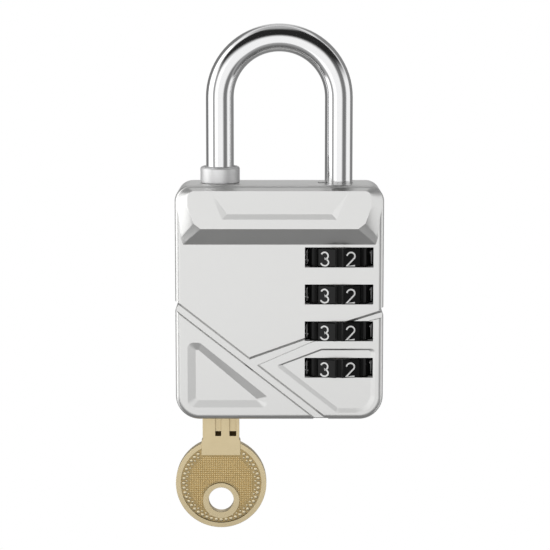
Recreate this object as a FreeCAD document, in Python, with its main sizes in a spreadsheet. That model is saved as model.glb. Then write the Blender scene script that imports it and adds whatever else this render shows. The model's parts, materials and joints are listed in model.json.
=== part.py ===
"""Combination padlock with four window dials, a lifting shackle and an override key.

All lengths are in millimetres. The origin is the underside of the shackle bow, +Z is up,
the windows face -Y and the heel leg stands at +X. Each piece is drawn from the bottom of
the case upwards, and its placement then hangs it below the bow.
"""
import FreeCAD, Part
import math
import os
import Sketcher

Vector = FreeCAD.Vector

DIMENSIONS = {
    "body_width": 44.9,
    "top_corner": 3.5,
    "foot_corner": 5.2,
    "edge_round": 1.2,
    "rear_round": 5.0,
    "seam_break": 0.2,
    "floor_wall": 1.6,
    "top_wall": 1.4,
    "side_wall": 0.5,
    "rear_wall": 1.9,
    "cover_wall": 1.6,
    "brow_rise": 2.0,
    "shackle_diameter": 6.0,
    "bow_clearance": 28.2,
    "toe_depth": 3.9,
    "rod_diameter": 4.0,
    "collar_diameter": 8.53,
    "collar_height": 3.45,
    "collar_slack": 0.3,
    "spring_room": 4.4,
    "dial_pitch": 8.05,
    "dial_height": 4.1,
    "dial_proud": 1.0,
    "dial_room": 0.3,
    "window_side": 0.93,
    "fin_height": 2.0,
    "fin_width": 1.2,
    "fin_reach": 1.4,
    "ring_wall": 1.5,
    "tooth_depth": 0.5,
    "dial_lip": 0.7,
    "carriage_plate": 1.1,
    "latch_plate": 1.2,
    "latch_travel": 1.5,
    "cam_radius": 3.2,
    "neck_width": 8.05,
    "key_thickness": 2.4,
    "key_bow_diameter": 20.0,
    "key_bow_drop": 15.75,
    "ring_hole_diameter": 5.55,
    "ring_hole_drop": 19.5,
    "track_width": 1.3,
    "plug_rim": 0.725,
    "shell_wall": 1.07,
    "pin_diameter": 1.6,
    "pin_pitch": 3.2,
    "cover_pin_diameter": 2.0,
    "running_gap": 0.1,
    "seat_gap": 0.05,
}

DIAL_COUNT = 4
NUMBERS_ON_DIAL = 10
KEY_PIN_COUNT = 5
CASE_DRAFT = -1.2
FLAT_END = math.radians(12.4)
BROW_LEAN = math.radians(43.5)

FLANGE_STEP = 0.6
SLEEVE_TAIL = 0.43
SLEEVE_HEAD = 0.4
HEAD_RIM = 1.2
ROD_RISE = 4.2
CLIP_RISE = 0.6
CLIP_HEIGHT = 1.0
CLIP_REACH = 0.5
WELL_ROOM = 0.6
PLUG_END = 1.7
PLUG_STAND = 0.4
PLUG_HEAD_RIM = 0.4
PLUG_HEAD_TOP = 1.0
SHAFT_POCKET = 3.0
RIB_WALL = 1.6
RIB_RISE = 1.0
RIB_HALF_WIDTH = 2.2
TRACK_OFFSET = 0.6
NECK_FLARE = 0.25
MILL_RAMP = 1.0
FIRST_PIN = 4.5
BLADE_TIP = 3.2
DRIVER_LENGTH = 2.0
CAP_RIM = 0.45
CAP_SEAT = 0.5
LATCH_FRAME = 1.7
BAY_ROOM = 0.6
CARRIAGE_RIM = 1.6
CARRIAGE_RAIL = 1.1
TANG_HALF = 0.8
TANG_DEPTH = 1.2
TOOTH_HALF = 0.5
VALLEY_RADIUS = 0.98
VALLEY_STAND = 0.45
CROSS_PIN_RADIUS = 0.7
CROSS_PIN_REACH = 2.4
CROSS_PIN_DROP = 1.8
LEAF_THICKNESS = 0.35
LEAF_HALF_WIDTH = 1.5
DETENT_ANGLE = math.radians(108)
COVER_PIN_DEPTH = 5.0
COVER_PIN_RISE = 0.9
NICK_REACH = 9.0
OVERLAP = 1.0


class Size:
    """A length that carries the formula of the driving dimensions it comes from."""

    def __init__(self, number, formula):
        self.number = number
        self.formula = formula

    def __add__(self, other):
        other = as_size(other)
        return Size(self.number + other.number, f"({self.formula} + {other.formula})")

    def __radd__(self, other):
        return as_size(other) + self

    def __sub__(self, other):
        other = as_size(other)
        return Size(self.number - other.number, f"({self.formula} - {other.formula})")

    def __rsub__(self, other):
        return as_size(other) - self

    def __mul__(self, factor):
        return Size(self.number * factor, f"({self.formula} * ({factor!r}))")

    __rmul__ = __mul__

    def __truediv__(self, divisor):
        return Size(self.number / divisor, f"({self.formula} / ({divisor!r}))")

    def __neg__(self):
        return Size(-self.number, f"(-{self.formula})")


def as_size(value):
    """A plain number becomes a Size with a constant formula."""
    if isinstance(value, Size):
        return value
    return Size(float(value), f"({float(value)!r})")


def chord(radius, distance):
    """Half the chord that a line at the given distance cuts from a circle."""
    number = math.sqrt(radius.number ** 2 - distance.number ** 2)
    return Size(number, f"sqrt({radius.formula} ^ 2 - {distance.formula} ^ 2)")


def bind(thing, name, value):
    """Ties a property to the driving dimensions."""
    thing.setExpression(name, as_size(value).formula)


def make_sheet(doc):
    """Writes the driving dimensions to the sheet and returns them as sizes."""
    sheet = doc.addObject("Spreadsheet::Sheet", "dims")
    sizes = {}
    for row, (name, number) in enumerate(DIMENSIONS.items(), start=1):
        sheet.set(f"A{row}", name)
        sheet.set(f"B{row}", str(number))
        sheet.setAlias(f"B{row}", name)
        sizes[name] = Size(number, f"dims.{name}")
    doc.recompute()
    return sizes


class Circle:
    """A full circle for a sketch."""

    def __init__(self, radius, across=0, up=0):
        self.radius = as_size(radius)
        self.across = as_size(across)
        self.up = as_size(up)

    def draw(self, drawing):
        centre = Vector(self.across.number, self.up.number, 0)
        shape = Part.Circle(centre, Vector(0, 0, 1), self.radius.number)
        index = drawing.addGeometry(shape, False)
        drive(drawing, index, 3, self.across, self.up)
        drive_radius(drawing, index, self.radius)


class Outline:
    """A closed outline through corners, each (across, up) or (across, up, radius)."""

    def __init__(self, corners):
        self.corners = []
        for corner in corners:
            across, up, radius = (list(corner) + [0])[:3]
            self.corners.append((as_size(across), as_size(up), as_size(radius)))

    def draw(self, drawing):
        count = len(self.corners)
        places = [(across.number, up.number) for across, up, radius in self.corners]
        rounds = []
        for index, (across, up, radius) in enumerate(self.corners):
            before = places[index - 1]
            after = places[(index + 1) % count]
            rounds.append(corner_arc(places[index], before, after, radius.number))
        lines = []
        for index in range(count):
            start = rounds[index][2]
            end = rounds[(index + 1) % count][0]
            lines.append(drawing.addGeometry(Part.LineSegment(start, end), False))
        for index, (across, up, radius) in enumerate(self.corners):
            before = lines[index - 1]
            after = lines[index]
            if radius.number:
                join_by_arc(drawing, before, after, rounds[index], across, up, radius)
            else:
                drawing.addConstraint(Sketcher.Constraint("Coincident", before, 2, after, 1))
                drive(drawing, after, 1, across, up)


def corner_arc(corner, before, after, radius):
    """Start, middle and end of the arc that rounds a corner."""
    here = Vector(*corner, 0)
    if not radius:
        return here, here, here
    back = (Vector(*before, 0) - here).normalize()
    forth = (Vector(*after, 0) - here).normalize()
    half = back.getAngle(forth) / 2
    reach = radius / math.tan(half)
    inward = (back + forth).normalize()
    centre = here + inward * (radius / math.sin(half))
    return here + back * reach, centre - inward * radius, here + forth * reach


def join_by_arc(drawing, before, after, points, across, up, radius):
    """Rounds the corner between two lines and drives the corner point and the radius."""
    corner = drawing.addGeometry(Part.Point(Vector(across.number, up.number, 0)), True)
    arc, start, end = add_arc(drawing, *points)
    drawing.addConstraint([
        Sketcher.Constraint("Tangent", before, 2, arc, start),
        Sketcher.Constraint("Tangent", arc, end, after, 1),
        Sketcher.Constraint("PointOnObject", corner, 1, before),
        Sketcher.Constraint("PointOnObject", corner, 1, after),
    ])
    drive(drawing, corner, 1, across, up)
    drive_radius(drawing, arc, radius)


def add_arc(drawing, start, middle, end):
    """Adds an arc, drawn anticlockwise, and returns it with the numbers of its two ends."""
    anticlockwise = (middle - start).cross(end - middle).z > 0
    if anticlockwise:
        return drawing.addGeometry(Part.Arc(start, middle, end), False), 1, 2
    return drawing.addGeometry(Part.Arc(end, middle, start), False), 2, 1


def drive(drawing, index, point, across, up):
    """Drives a point of the sketch from the sketch origin."""
    drive_one(drawing, "DistanceX", index, point, across)
    drive_one(drawing, "DistanceY", index, point, up)


def drive_one(drawing, kind, index, point, value):
    """Drives one coordinate of a point of the sketch."""
    rule = Sketcher.Constraint(kind, -1, 1, index, point, value.number)
    bind(drawing, f"Constraints[{drawing.addConstraint(rule)}]", value)


def drive_radius(drawing, index, radius):
    """Drives the radius of a circle or an arc of the sketch."""
    rule = Sketcher.Constraint("Radius", index, radius.number)
    bind(drawing, f"Constraints[{drawing.addConstraint(rule)}]", radius)


def rectangle(left, right, low, high, radius=0):
    """A rectangular outline, rounded alike at its four corners."""
    return Outline([
        (left, low, radius),
        (right, low, radius),
        (right, high, radius),
        (left, high, radius),
    ])


class Piece:
    """One piece of the lock: a body with its sketches and features.

    Sketches on XY lie at a height and grow upwards. Sketches on XZ lie at a distance
    towards the front and grow forwards, or backwards with back=True. Sketches on YZ lie
    at a distance to the right and grow to the right.
    """

    def __init__(self, doc, name, base, across=0, turn=0):
        self.doc = doc
        self.body = doc.addObject("PartDesign::Body", name)
        self.body.Label = name
        self.origin = {part.Role: part for part in self.body.Origin.OriginFeatures}
        self.body.Placement = FreeCAD.Placement(Vector(), FreeCAD.Rotation(Vector(0, 0, 1), turn))
        bind(self.body, "Placement.Base.x", across)
        bind(self.body, "Placement.Base.z", base)
        self.volume = 0

    def sketch(self, plane, offset, *shapes):
        drawing = self.body.newObject("Sketcher::SketchObject", "Sketch")
        drawing.AttachmentSupport = [(self.origin[f"{plane}_Plane"], "")]
        drawing.MapMode = "FlatFace"
        bind(drawing, "AttachmentOffset.Base.z", offset)
        for shape in shapes:
            shape.draw(drawing)
        return drawing

    def settle(self, feature, grows):
        """Works the feature out and makes sure that it changed the solid."""
        self.body.Tip = feature
        self.doc.recompute()
        volume = feature.Shape.Volume
        if (volume - self.volume > 0) != grows or abs(volume - self.volume) < 1e-6:
            raise ValueError(f"{self.body.Label}: {feature.Name} left the solid as it was")
        self.volume = volume
        return feature

    def add(self, plane, offset, length, *shapes, back=False, draft=0):
        feature = self.body.newObject("PartDesign::Pad", "Pad")
        feature.Profile = self.sketch(plane, offset, *shapes)
        bind(feature, "Length", length)
        feature.Reversed = back
        feature.TaperAngle = draft
        return self.settle(feature, True)

    def cut(self, plane, offset, length, *shapes, back=False):
        feature = self.body.newObject("PartDesign::Pocket", "Pocket")
        feature.Profile = self.sketch(plane, offset, *shapes)
        bind(feature, "Length", length)
        feature.Reversed = not back
        return self.settle(feature, False)

    def revolve(self, *shapes):
        feature = self.body.newObject("PartDesign::Revolution", "Revolution")
        feature.Profile = self.sketch("XZ", 0, *shapes)
        feature.ReferenceAxis = (self.origin["Z_Axis"], [""])
        return self.settle(feature, True)

    def loft(self, kind, plane, first, second):
        """Joins two (offset, outline) pairs with flat sides; kind is Additive or Subtractive."""
        feature = self.body.newObject(f"PartDesign::{kind}Loft", "Loft")
        feature.Profile = self.sketch(plane, *first)
        feature.Sections = [self.sketch(plane, *second)]
        feature.Ruled = True
        return self.settle(feature, kind == "Additive")

    def repeat_up(self, features, count, pitch, grows):
        pattern = self.body.newObject("PartDesign::LinearPattern", "Row")
        pattern.Originals = features
        pattern.Direction = (self.origin["Z_Axis"], [""])
        pattern.Mode = "Spacing"
        bind(pattern, "Offset", pitch)
        pattern.Occurrences = count
        return self.settle(pattern, grows)

    def repeat_round(self, features, count, grows):
        pattern = self.body.newObject("PartDesign::PolarPattern", "Ring")
        pattern.Originals = features
        pattern.Axis = (self.origin["Z_Axis"], [""])
        pattern.Angle = 360
        pattern.Occurrences = count
        return self.settle(pattern, grows)

    def dress(self, kind, size, test):
        """Rounds or bevels the edges whose every point passes the test."""
        shape = self.body.Tip.Shape
        names = []
        for index, edge in enumerate(shape.Edges, start=1):
            if all(test(point) for point in edge.discretize(5)):
                names.append(f"Edge{index}")
        base = self.body.Tip
        feature = self.body.newObject(f"PartDesign::{kind}", kind)
        feature.Base = (base, names)
        bind(feature, "Radius" if kind == "Fillet" else "Size", size)
        self.body.Tip = feature
        self.doc.recompute()
        self.volume = feature.Shape.Volume
        return feature


class Layout:
    """Every level and radius that more than one piece shares."""

    def __init__(self, dims):
        self.dims = dims
        gap = dims["running_gap"]
        self.half_width = dims["body_width"] / 2
        self.bar = dims["shackle_diameter"] / 2
        self.rod = dims["rod_diameter"] / 2

        self.plug = dims["neck_width"] / 2 + dims["plug_rim"]
        self.plug_bore = self.plug + 0.6 * gap
        self.shell = self.plug_bore + dims["shell_wall"]
        self.seam = self.shell + 1.2 * gap
        self.face = self.seam + dims["cover_wall"]
        self.brow = self.face + dims["brow_rise"]

        self.dial = self.face + dims["dial_proud"]
        self.dial_sweep = self.dial / math.cos(FLAT_END)
        self.dial_bore = self.dial_sweep + dims["dial_room"]
        self.rear = self.dial_bore + dims["rear_wall"]
        self.leg = self.half_width - dims["side_wall"] - self.dial_bore
        self.window = chord(self.dial_sweep, self.seam) + dims["window_side"]

        self.fin = self.bar + dims["fin_reach"]
        self.hub = self.fin + dims["ring_wall"]
        self.flange = self.hub + FLANGE_STEP
        self.tooth = self.flange + dims["tooth_depth"]
        self.hub_slot = self.hub + 4 * gap

        self.fin_gap = 2.75 * gap
        self.ring_height = dims["dial_pitch"] - dims["fin_height"] - 2 * self.fin_gap
        self.sleeve_foot = dims["floor_wall"] + dims["spring_room"]
        self.fin_foot = self.sleeve_foot + SLEEVE_TAIL
        self.lowest_dial = self.fin_foot + dims["fin_height"] + self.fin_gap + self.ring_height / 2
        self.stack_top = self.dial_level(1) + self.ring_height / 2
        self.head_foot = self.stack_top + 2 * gap
        self.head_top = self.head_foot + SLEEVE_HEAD
        self.carriage_top = self.head_top + dims["carriage_plate"]
        self.latch_foot = self.carriage_top + gap
        self.latch_top = self.latch_foot + dims["latch_plate"]
        self.groove_foot = self.latch_foot - 1.5 * gap
        self.groove_top = self.latch_top + 1.5 * gap
        self.lift = dims["dial_pitch"]
        self.ceiling = self.latch_top + self.lift + 2.5 * gap
        self.top = self.ceiling + dims["top_wall"]
        self.cavity_floor = self.head_foot - gap
        self.base = -(self.top + dims["bow_clearance"])

        self.rod_foot = self.sleeve_foot + ROD_RISE
        self.clip_foot = self.rod_foot + CLIP_RISE
        self.clip_top = self.clip_foot + CLIP_HEIGHT

        self.blade = FIRST_PIN + (KEY_PIN_COUNT - 1) * dims["pin_pitch"] + BLADE_TIP
        self.keyway_top = self.blade + 3 * gap
        self.plug_top = self.keyway_top + PLUG_END
        self.shell_foot = 1.5 * gap
        self.shell_top = self.plug_top - PLUG_STAND
        self.shaft = self.rod
        self.shaft_pocket_top = self.plug_top + SHAFT_POCKET
        self.rib_back = self.rear - RIB_WALL
        self.rib_foot = dims["floor_wall"] + RIB_RISE
        self.track = as_size(TRACK_OFFSET)
        self.first_pin = as_size(FIRST_PIN)
        self.cam_offset = dims["latch_travel"] / math.sqrt(2)

        self.cam_rest = -self.leg + dims["latch_travel"] / 2
        self.cam_window = dims["cam_radius"] + 0.8 * gap
        self.latch_left = self.cam_rest - self.cam_window - LATCH_FRAME
        self.latch_rear = self.cam_offset + self.cam_window + LATCH_FRAME
        self.cavity_left = self.latch_left - dims["latch_travel"] - BAY_ROOM
        self.cavity_rear = self.latch_rear + BAY_ROOM
        self.carriage_right = self.leg + self.bar + CARRIAGE_RIM
        self.cavity_right = self.carriage_right + BAY_ROOM

    def dial_level(self, number):
        """Height of a dial's middle; dial 1 is the top one."""
        return self.lowest_dial + (DIAL_COUNT - number) * self.dims["dial_pitch"]

    def pin_height(self, index):
        """Height of a key pin's axis, from the mouth of the keyway inwards."""
        return self.first_pin + index * self.dims["pin_pitch"]

    def cover_pin_places(self):
        """Where the pins that join the two shells stand: (across, up)."""
        inset = 1.9
        left = inset - self.half_width
        right = self.half_width - inset
        middle = (self.shell - self.leg) / 2 + 1.0
        high = self.top - 5.0
        return [
            (left, as_size(6.0)),
            (left, high),
            (middle, as_size(8.0)),
            (middle, self.cavity_floor - 4.5),
            (right - 0.5, high),
            (right - 1.7, as_size(3.4)),
        ]


def case_outline(layout):
    """The rounded outline that both shells share."""
    side = layout.half_width
    foot = layout.dims["foot_corner"]
    head = layout.dims["top_corner"]
    return Outline([
        (-side, 0, foot),
        (side, 0, foot),
        (side, layout.top, head),
        (-side, layout.top, head),
    ])


def side_nicks(layout):
    """The nicks where the branched groove runs out over the sides of the case."""
    side = layout.half_width
    out = side + OVERLAP
    deep = side - 0.75
    return [
        Outline([(-out, 26.5), (-deep, 25.7), (-deep, 25.3), (-out, 22.2)]),
        Outline([(out, 25.2), (deep, 24.35), (deep, 24.0), (out, 21.6)]),
    ]


def lies_ahead(distance):
    """Tests whether a point lies at a distance towards the front."""
    return lambda point: abs(point.y + distance.number) < 1e-4


def make_rear_case(doc, layout):
    """The deep rear shell with the bays for dials, latch, key cylinder and springs."""
    dims = layout.dims
    gap = dims["running_gap"]
    seat = dims["seat_gap"]
    piece = Piece(doc, "rear_case", layout.base)
    depth = layout.seam + layout.rear
    piece.add("XZ", layout.seam, depth, case_outline(layout), back=True, draft=CASE_DRAFT)
    piece.dress("Chamfer", dims["seam_break"], lies_ahead(layout.seam))
    piece.dress("Fillet", dims["rear_round"], lies_ahead(-layout.rear))
    front = -(layout.seam + OVERLAP)

    def bay(left, right, rear, low, high):
        return piece.cut("XY", low, high - low, rectangle(left, right, front, rear))

    bay(layout.cavity_left, layout.cavity_right, layout.cavity_rear,
        layout.cavity_floor, layout.ceiling)
    hub = layout.hub_slot
    low = layout.sleeve_foot - 4 * gap
    bay(layout.leg - hub, layout.leg + hub, 0, low, layout.cavity_floor)
    height = layout.cavity_floor - low
    piece.cut("XY", low, height, Circle(hub, layout.leg))
    piece.cut("XY", dims["floor_wall"], dims["spring_room"], Circle(layout.rod + WELL_ROOM, layout.leg))

    slot = dims["dial_height"] + 2 * gap
    low = layout.lowest_dial - slot / 2
    bore = layout.dial_bore
    box = piece.cut("XY", low, slot, rectangle(layout.leg - bore, layout.leg + bore, front, 0))
    piece.repeat_up([box], DIAL_COUNT, dims["dial_pitch"], False)
    disc = piece.cut("XY", low, slot, Circle(bore, layout.leg))
    piece.repeat_up([disc], DIAL_COUNT, dims["dial_pitch"], False)
    cut_detent_bay(piece, layout)

    shell = layout.shell + seat
    bay(-layout.leg - shell, -layout.leg + shell, 0, as_size(-OVERLAP), layout.shaft_pocket_top)
    height = layout.shaft_pocket_top + OVERLAP
    piece.cut("XY", -OVERLAP, height, Circle(shell, -layout.leg))
    rib_left, rib_right = rib_sides(layout)
    low = layout.rib_foot
    piece.cut("XY", low, layout.shell_top + seat - low,
              rectangle(rib_left - seat, rib_right + seat, 0, layout.rib_back + seat))
    shaft = layout.shaft + gap
    low = layout.shaft_pocket_top
    bay(-layout.leg - shaft, -layout.leg + shaft, 0, low, layout.cavity_floor)
    piece.cut("XY", low, layout.cavity_floor - low, Circle(shaft, -layout.leg))

    piece.cut("XY", layout.ceiling, dims["top_wall"] + OVERLAP, Circle(layout.bar + gap, layout.leg))
    fin = dims["fin_width"] / 2 + gap
    piece.cut("XY", layout.ceiling, dims["top_wall"] + OVERLAP,
              rectangle(layout.leg - layout.fin - gap, layout.leg, -2 * fin, 2 * fin))
    piece.cut("XY", layout.ceiling, dims["top_wall"] + OVERLAP,
              Circle(collar_spigot(layout) + seat, -layout.leg))

    radius = dims["cover_pin_diameter"] / 2 + seat / 2
    holes = [Circle(radius, across, up) for across, up in layout.cover_pin_places()]
    piece.cut("XZ", layout.seam - COVER_PIN_DEPTH, COVER_PIN_DEPTH + OVERLAP, *holes)
    cut_cross_pin_hole(piece, layout)
    for nick in side_nicks(layout):
        piece.cut("XZ", layout.seam - NICK_REACH, NICK_REACH + OVERLAP, nick)
    return piece


def rib_sides(layout):
    """Left and right side of the cylinder's rib, which carries the pin chambers."""
    middle = -layout.leg + layout.track
    return middle - RIB_HALF_WIDTH, middle + RIB_HALF_WIDTH


def collar_spigot(layout):
    """Radius of the collar's lower end, inside the top wall."""
    return layout.dims["collar_diameter"] / 2 - 0.6


def cut_detent_bay(piece, layout):
    """A flat slot behind the dials for the detent leaf."""
    near, far, half = detent_leaf_radii(layout)
    gap = layout.dims["seat_gap"]
    near = near - 4 * gap
    far = far + gap
    half = half + 4 * gap
    outward = (-math.sin(DETENT_ANGLE), -math.cos(DETENT_ANGLE))
    aside = (-outward[1], outward[0])
    corners = []
    for radial, tangent in ((near, -half), (far, -half), (far, half), (near, half)):
        corners.append((
            layout.leg + radial * outward[0] + tangent * aside[0],
            radial * outward[1] + tangent * aside[1],
        ))
    low = layout.lowest_dial - layout.dims["dial_height"]
    piece.cut("XY", low, layout.cavity_floor - low, Outline(corners))


def detent_leaf_radii(layout):
    """Inner and outer radius of the flat leaf, and half its width."""
    near = layout.dial_bore + layout.dims["seat_gap"]
    return near, near + LEAF_THICKNESS, as_size(LEAF_HALF_WIDTH)


def cut_cross_pin_hole(piece, layout):
    """The hole for the cross pin that keeps the key cylinder in the case."""
    radius, level, rear, left, right = cross_pin(layout)
    piece.cut("YZ", left, right - left, Circle(radius + layout.dims["seat_gap"] / 2, rear, level))


def cross_pin(layout):
    """Radius, height, depth and ends of the cross pin."""
    left, right = rib_sides(layout)
    level = layout.shell_top - CROSS_PIN_DROP
    radius = as_size(CROSS_PIN_RADIUS)
    return radius, level, layout.rib_back - 2 * radius, left - CROSS_PIN_REACH, right + CROSS_PIN_REACH


def make_front_cover(doc, layout):
    """The decorated front shell."""
    dims = layout.dims
    seat = dims["seat_gap"]
    piece = Piece(doc, "front_cover", layout.base)
    piece.add("XZ", layout.seam, dims["cover_wall"], case_outline(layout))
    piece.dress("Fillet", dims["edge_round"], lies_ahead(layout.face))
    piece.dress("Chamfer", dims["seam_break"], lies_ahead(layout.seam))
    add_brow(piece, layout)
    cut_grooves(piece, layout)
    cut_recesses(piece, layout)
    half = dims["dial_height"] / 2 + 1.3 * dims["running_gap"]
    low = layout.lowest_dial - half
    window = piece.cut("XZ", layout.seam - OVERLAP, dims["cover_wall"] + 2 * OVERLAP,
                       rectangle(layout.leg - layout.window, layout.leg + layout.window,
                                 low, low + 2 * half))
    piece.repeat_up([window], DIAL_COUNT, dims["dial_pitch"], False)
    radius = dims["cover_pin_diameter"] / 2 + seat / 2
    holes = [Circle(radius, across, up) for across, up in layout.cover_pin_places()]
    piece.cut("XZ", layout.seam - OVERLAP, OVERLAP + COVER_PIN_RISE, *holes)
    return piece


def add_brow(piece, layout):
    """The raised pad across the top, with its sloped underside and wedge recess."""
    side = layout.half_width
    top = layout.top
    edge = layout.dims["edge_round"]
    root = layout.face - edge * (1 - math.cos(BROW_LEAN))
    inset = edge * (1 - math.sin(BROW_LEAN)) + 0.02
    foot = Outline(mirrored([
        (side - 1.14, top - 13.27),
        (side - 0.85, top - 11.7),
        (side - inset, top - 4.8),
        (side - inset, top - inset, layout.dims["top_corner"] - inset),
    ]))
    crest = Outline(mirrored([
        (side - 5.6, top - 9.05),
        (side - 4.1, top - 7.85),
        (side - 2.83, top - 4.25),
        (side - 2.83, top - 0.9, 1.4),
    ]))
    piece.loft("Additive", "XZ", (root, foot), (layout.brow, crest))
    mouth = Outline(mirrored([(12.2, top - 7.0), (14.7, top - 1.2)]))
    floor = Outline(mirrored([(11.2, top - 5.9), (11.5, top - 5.35)]))
    piece.loft("Subtractive", "XZ", (layout.brow, mouth), (layout.brow - 0.25, floor))


def mirrored(corners):
    """Corners of the right half, bottom to top, followed by their mirror images."""
    flipped = []
    for across, up, *radius in reversed(corners):
        flipped.append((-across, up, *radius))
    return corners + flipped


def cut_grooves(piece, layout):
    """The branched groove: two channels with flat floors and sloping walls."""
    side = layout.half_width
    out = side + OVERLAP
    long_top = [(-out, 27.2), (11.6, -0.45)]
    long_foot = [(-out, 24.65), (8.35, -0.45)]
    short_top = [(-7.1, 13.0), (-6.3, 13.9), (5.6, 18.15), (14.3, 21.75), (out, 24.65)]
    short_foot = [(-5.5, 11.6), (6.7, 16.95), (20.0, 21.9), (out, 22.7)]
    depth = 0.42
    for top, foot, rise in ((long_top, long_foot, 0.35), (short_top, short_foot, 0.06)):
        mouth = Outline(top + list(reversed(foot)))
        floor_top = [(across, up - 0.6) for across, up in top]
        floor_foot = [(across, up + rise) for across, up in foot]
        floor = Outline(floor_top + list(reversed(floor_foot)))
        piece.loft("Subtractive", "XZ", (layout.face + 0.01, mouth), (layout.face - depth, floor))
    through = layout.dims["cover_wall"] + 2 * OVERLAP
    foot_nick = Outline([(6.6, -1), (7.6, 0.5), (10.4, 0.5), (11.35, -1)])
    for nick in side_nicks(layout) + [foot_nick]:
        piece.cut("XZ", layout.seam - OVERLAP, through, nick)


def cut_recesses(piece, layout):
    """The triangular recess at the lower left and the shallow panel at the lower right."""
    side = layout.half_width
    mouth = Outline([
        (2.56 - side, 2.7, 1.3),
        (-2.5, 2.7, 1.1),
        (-2.5, 5.1, 0.8),
        (5.3 - side, 17.05, 1.3),
        (2.56 - side, 17.05, 1.3),
    ])
    floor = Outline([
        (4.34 - side, 4.25, 0.7),
        (-4.9, 4.25, 0.12),
        (-4.9, 4.55, 0.12),
        (4.95 - side, 15.35, 0.1),
        (4.34 - side, 15.35, 0.1),
    ])
    piece.loft("Subtractive", "XZ", (layout.face + 0.01, mouth), (layout.face - 0.45, floor))
    mouth = Outline([
        (-0.3, 11.6, 0.15),
        (12.4, 1.55, 0.6),
        (side - 1.7, 1.55, 4.0),
        (side - 1.7, 15.7, 1.0),
        (9.1, 15.7, 0.8),
        (-0.3, 12.1, 0.15),
    ])
    floor = Outline([
        (0.75, 12.0, 0.1),
        (12.75, 2.5, 0.6),
        (side - 2.7, 2.5, 3.2),
        (side - 2.7, 15.5, 0.6),
        (9.2, 15.5, 0.8),
        (0.75, 12.3, 0.1),
    ])
    piece.loft("Subtractive", "XZ", (layout.face + 0.01, mouth), (layout.face - 0.27, floor))


def make_collar(doc, layout):
    """The ferrule round the toe leg, with a spigot in the top wall."""
    dims = layout.dims
    piece = Piece(doc, "toe_collar", layout.base, -layout.leg)
    outer = dims["collar_diameter"] / 2
    inner = layout.bar + dims["collar_slack"]
    spigot = collar_spigot(layout)
    bevel = 0.35
    top = layout.top + dims["collar_height"]
    piece.revolve(Outline([
        (inner, layout.ceiling),
        (spigot, layout.ceiling),
        (spigot, layout.top),
        (outer, layout.top),
        (outer, top - bevel),
        (outer - bevel, top),
        (inner + bevel, top),
        (inner, top - bevel),
    ]))
    return piece


def make_shackle(doc, layout):
    """The bent bar: toe leg, bow, and heel leg with its latch groove and rod."""
    dims = layout.dims
    piece = Piece(doc, "shackle", layout.base)
    bend = layout.top + dims["bow_clearance"] - layout.leg + layout.bar
    toe = layout.top - dims["toe_depth"]
    heel = layout.groove_top
    path = piece.sketch("XZ", 0)
    draw_bow(path, layout.leg, toe, heel, bend)
    section = piece.sketch("XY", toe, Circle(layout.bar, -layout.leg))
    pipe = piece.body.newObject("PartDesign::AdditivePipe", "Pipe")
    pipe.Profile = section
    pipe.Spine = path
    piece.settle(pipe, True)
    piece.dress("Chamfer", 0.6, lambda point: abs(point.z - toe.number) < 1e-4)
    low = layout.rod_foot
    piece.add("XY", low, heel - low, Circle(layout.rod, layout.leg))
    button = layout.head_top + dims["seat_gap"]
    piece.add("XY", button, layout.groove_foot - button, Circle(layout.bar, layout.leg))
    ring = [Circle(layout.rod + 1, layout.leg), Circle(clip_seat(layout), layout.leg)]
    piece.cut("XY", layout.clip_foot, layout.clip_top - layout.clip_foot, *ring)
    return piece


def draw_bow(drawing, leg, toe, heel, bend):
    """The centre line of the shackle: two upright legs and a half circle."""
    radius = leg.number
    level = bend.number
    toe_end = Vector(-radius, toe.number, 0)
    heel_end = Vector(radius, heel.number, 0)
    springs = [Vector(-radius, level, 0), Vector(radius, level, 0)]
    left = drawing.addGeometry(Part.LineSegment(toe_end, springs[0]), False)
    arc, start, end = add_arc(drawing, springs[0], Vector(0, level + radius, 0), springs[1])
    right = drawing.addGeometry(Part.LineSegment(springs[1], heel_end), False)
    drawing.addConstraint([
        Sketcher.Constraint("Coincident", left, 2, arc, start),
        Sketcher.Constraint("Coincident", arc, end, right, 1),
    ])
    drive(drawing, left, 1, -leg, toe)
    drive(drawing, left, 2, -leg, bend)
    drive(drawing, right, 1, leg, bend)
    drive(drawing, right, 2, leg, heel)
    drive_one(drawing, "DistanceY", arc, 3, bend)


def clip_seat(layout):
    """Radius of the rod inside its retaining ring."""
    return layout.rod - 0.5


def make_rod_clip(doc, layout):
    """The retaining ring near the end of the heel rod."""
    piece = Piece(doc, "rod_clip", layout.base, layout.leg)
    inner = clip_seat(layout) + layout.dims["seat_gap"] / 2
    outer = layout.rod + CLIP_REACH
    seat = layout.dims["seat_gap"]
    height = layout.clip_top - layout.clip_foot - 2 * seat
    piece.add("XY", layout.clip_foot + seat, height, Circle(outer), Circle(inner))
    return piece


def make_sleeve(doc, layout):
    """The finned sleeve round the heel rod: each fin rests in the gap below a gate ring."""
    dims = layout.dims
    piece = Piece(doc, "finned_sleeve", layout.base, layout.leg)
    bore = layout.rod + 1.5 * dims["running_gap"]
    length = layout.head_top - layout.sleeve_foot
    piece.add("XY", layout.sleeve_foot, length, Circle(layout.bar), Circle(bore))
    head = layout.head_top - layout.head_foot
    piece.add("XY", layout.head_foot, head, Circle(layout.bar + HEAD_RIM), Circle(bore))
    wide = layout.rod + WELL_ROOM
    depth = layout.clip_top + layout.lift + 0.4 - layout.sleeve_foot
    piece.cut("XY", layout.sleeve_foot, depth, Circle(wide))
    half = dims["fin_width"] / 2
    fin = piece.add("XY", layout.fin_foot, dims["fin_height"],
                    rectangle(-layout.fin, 0.2 - layout.bar, -half, half))
    piece.repeat_up([fin], DIAL_COUNT, dims["dial_pitch"], True)
    return piece


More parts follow.
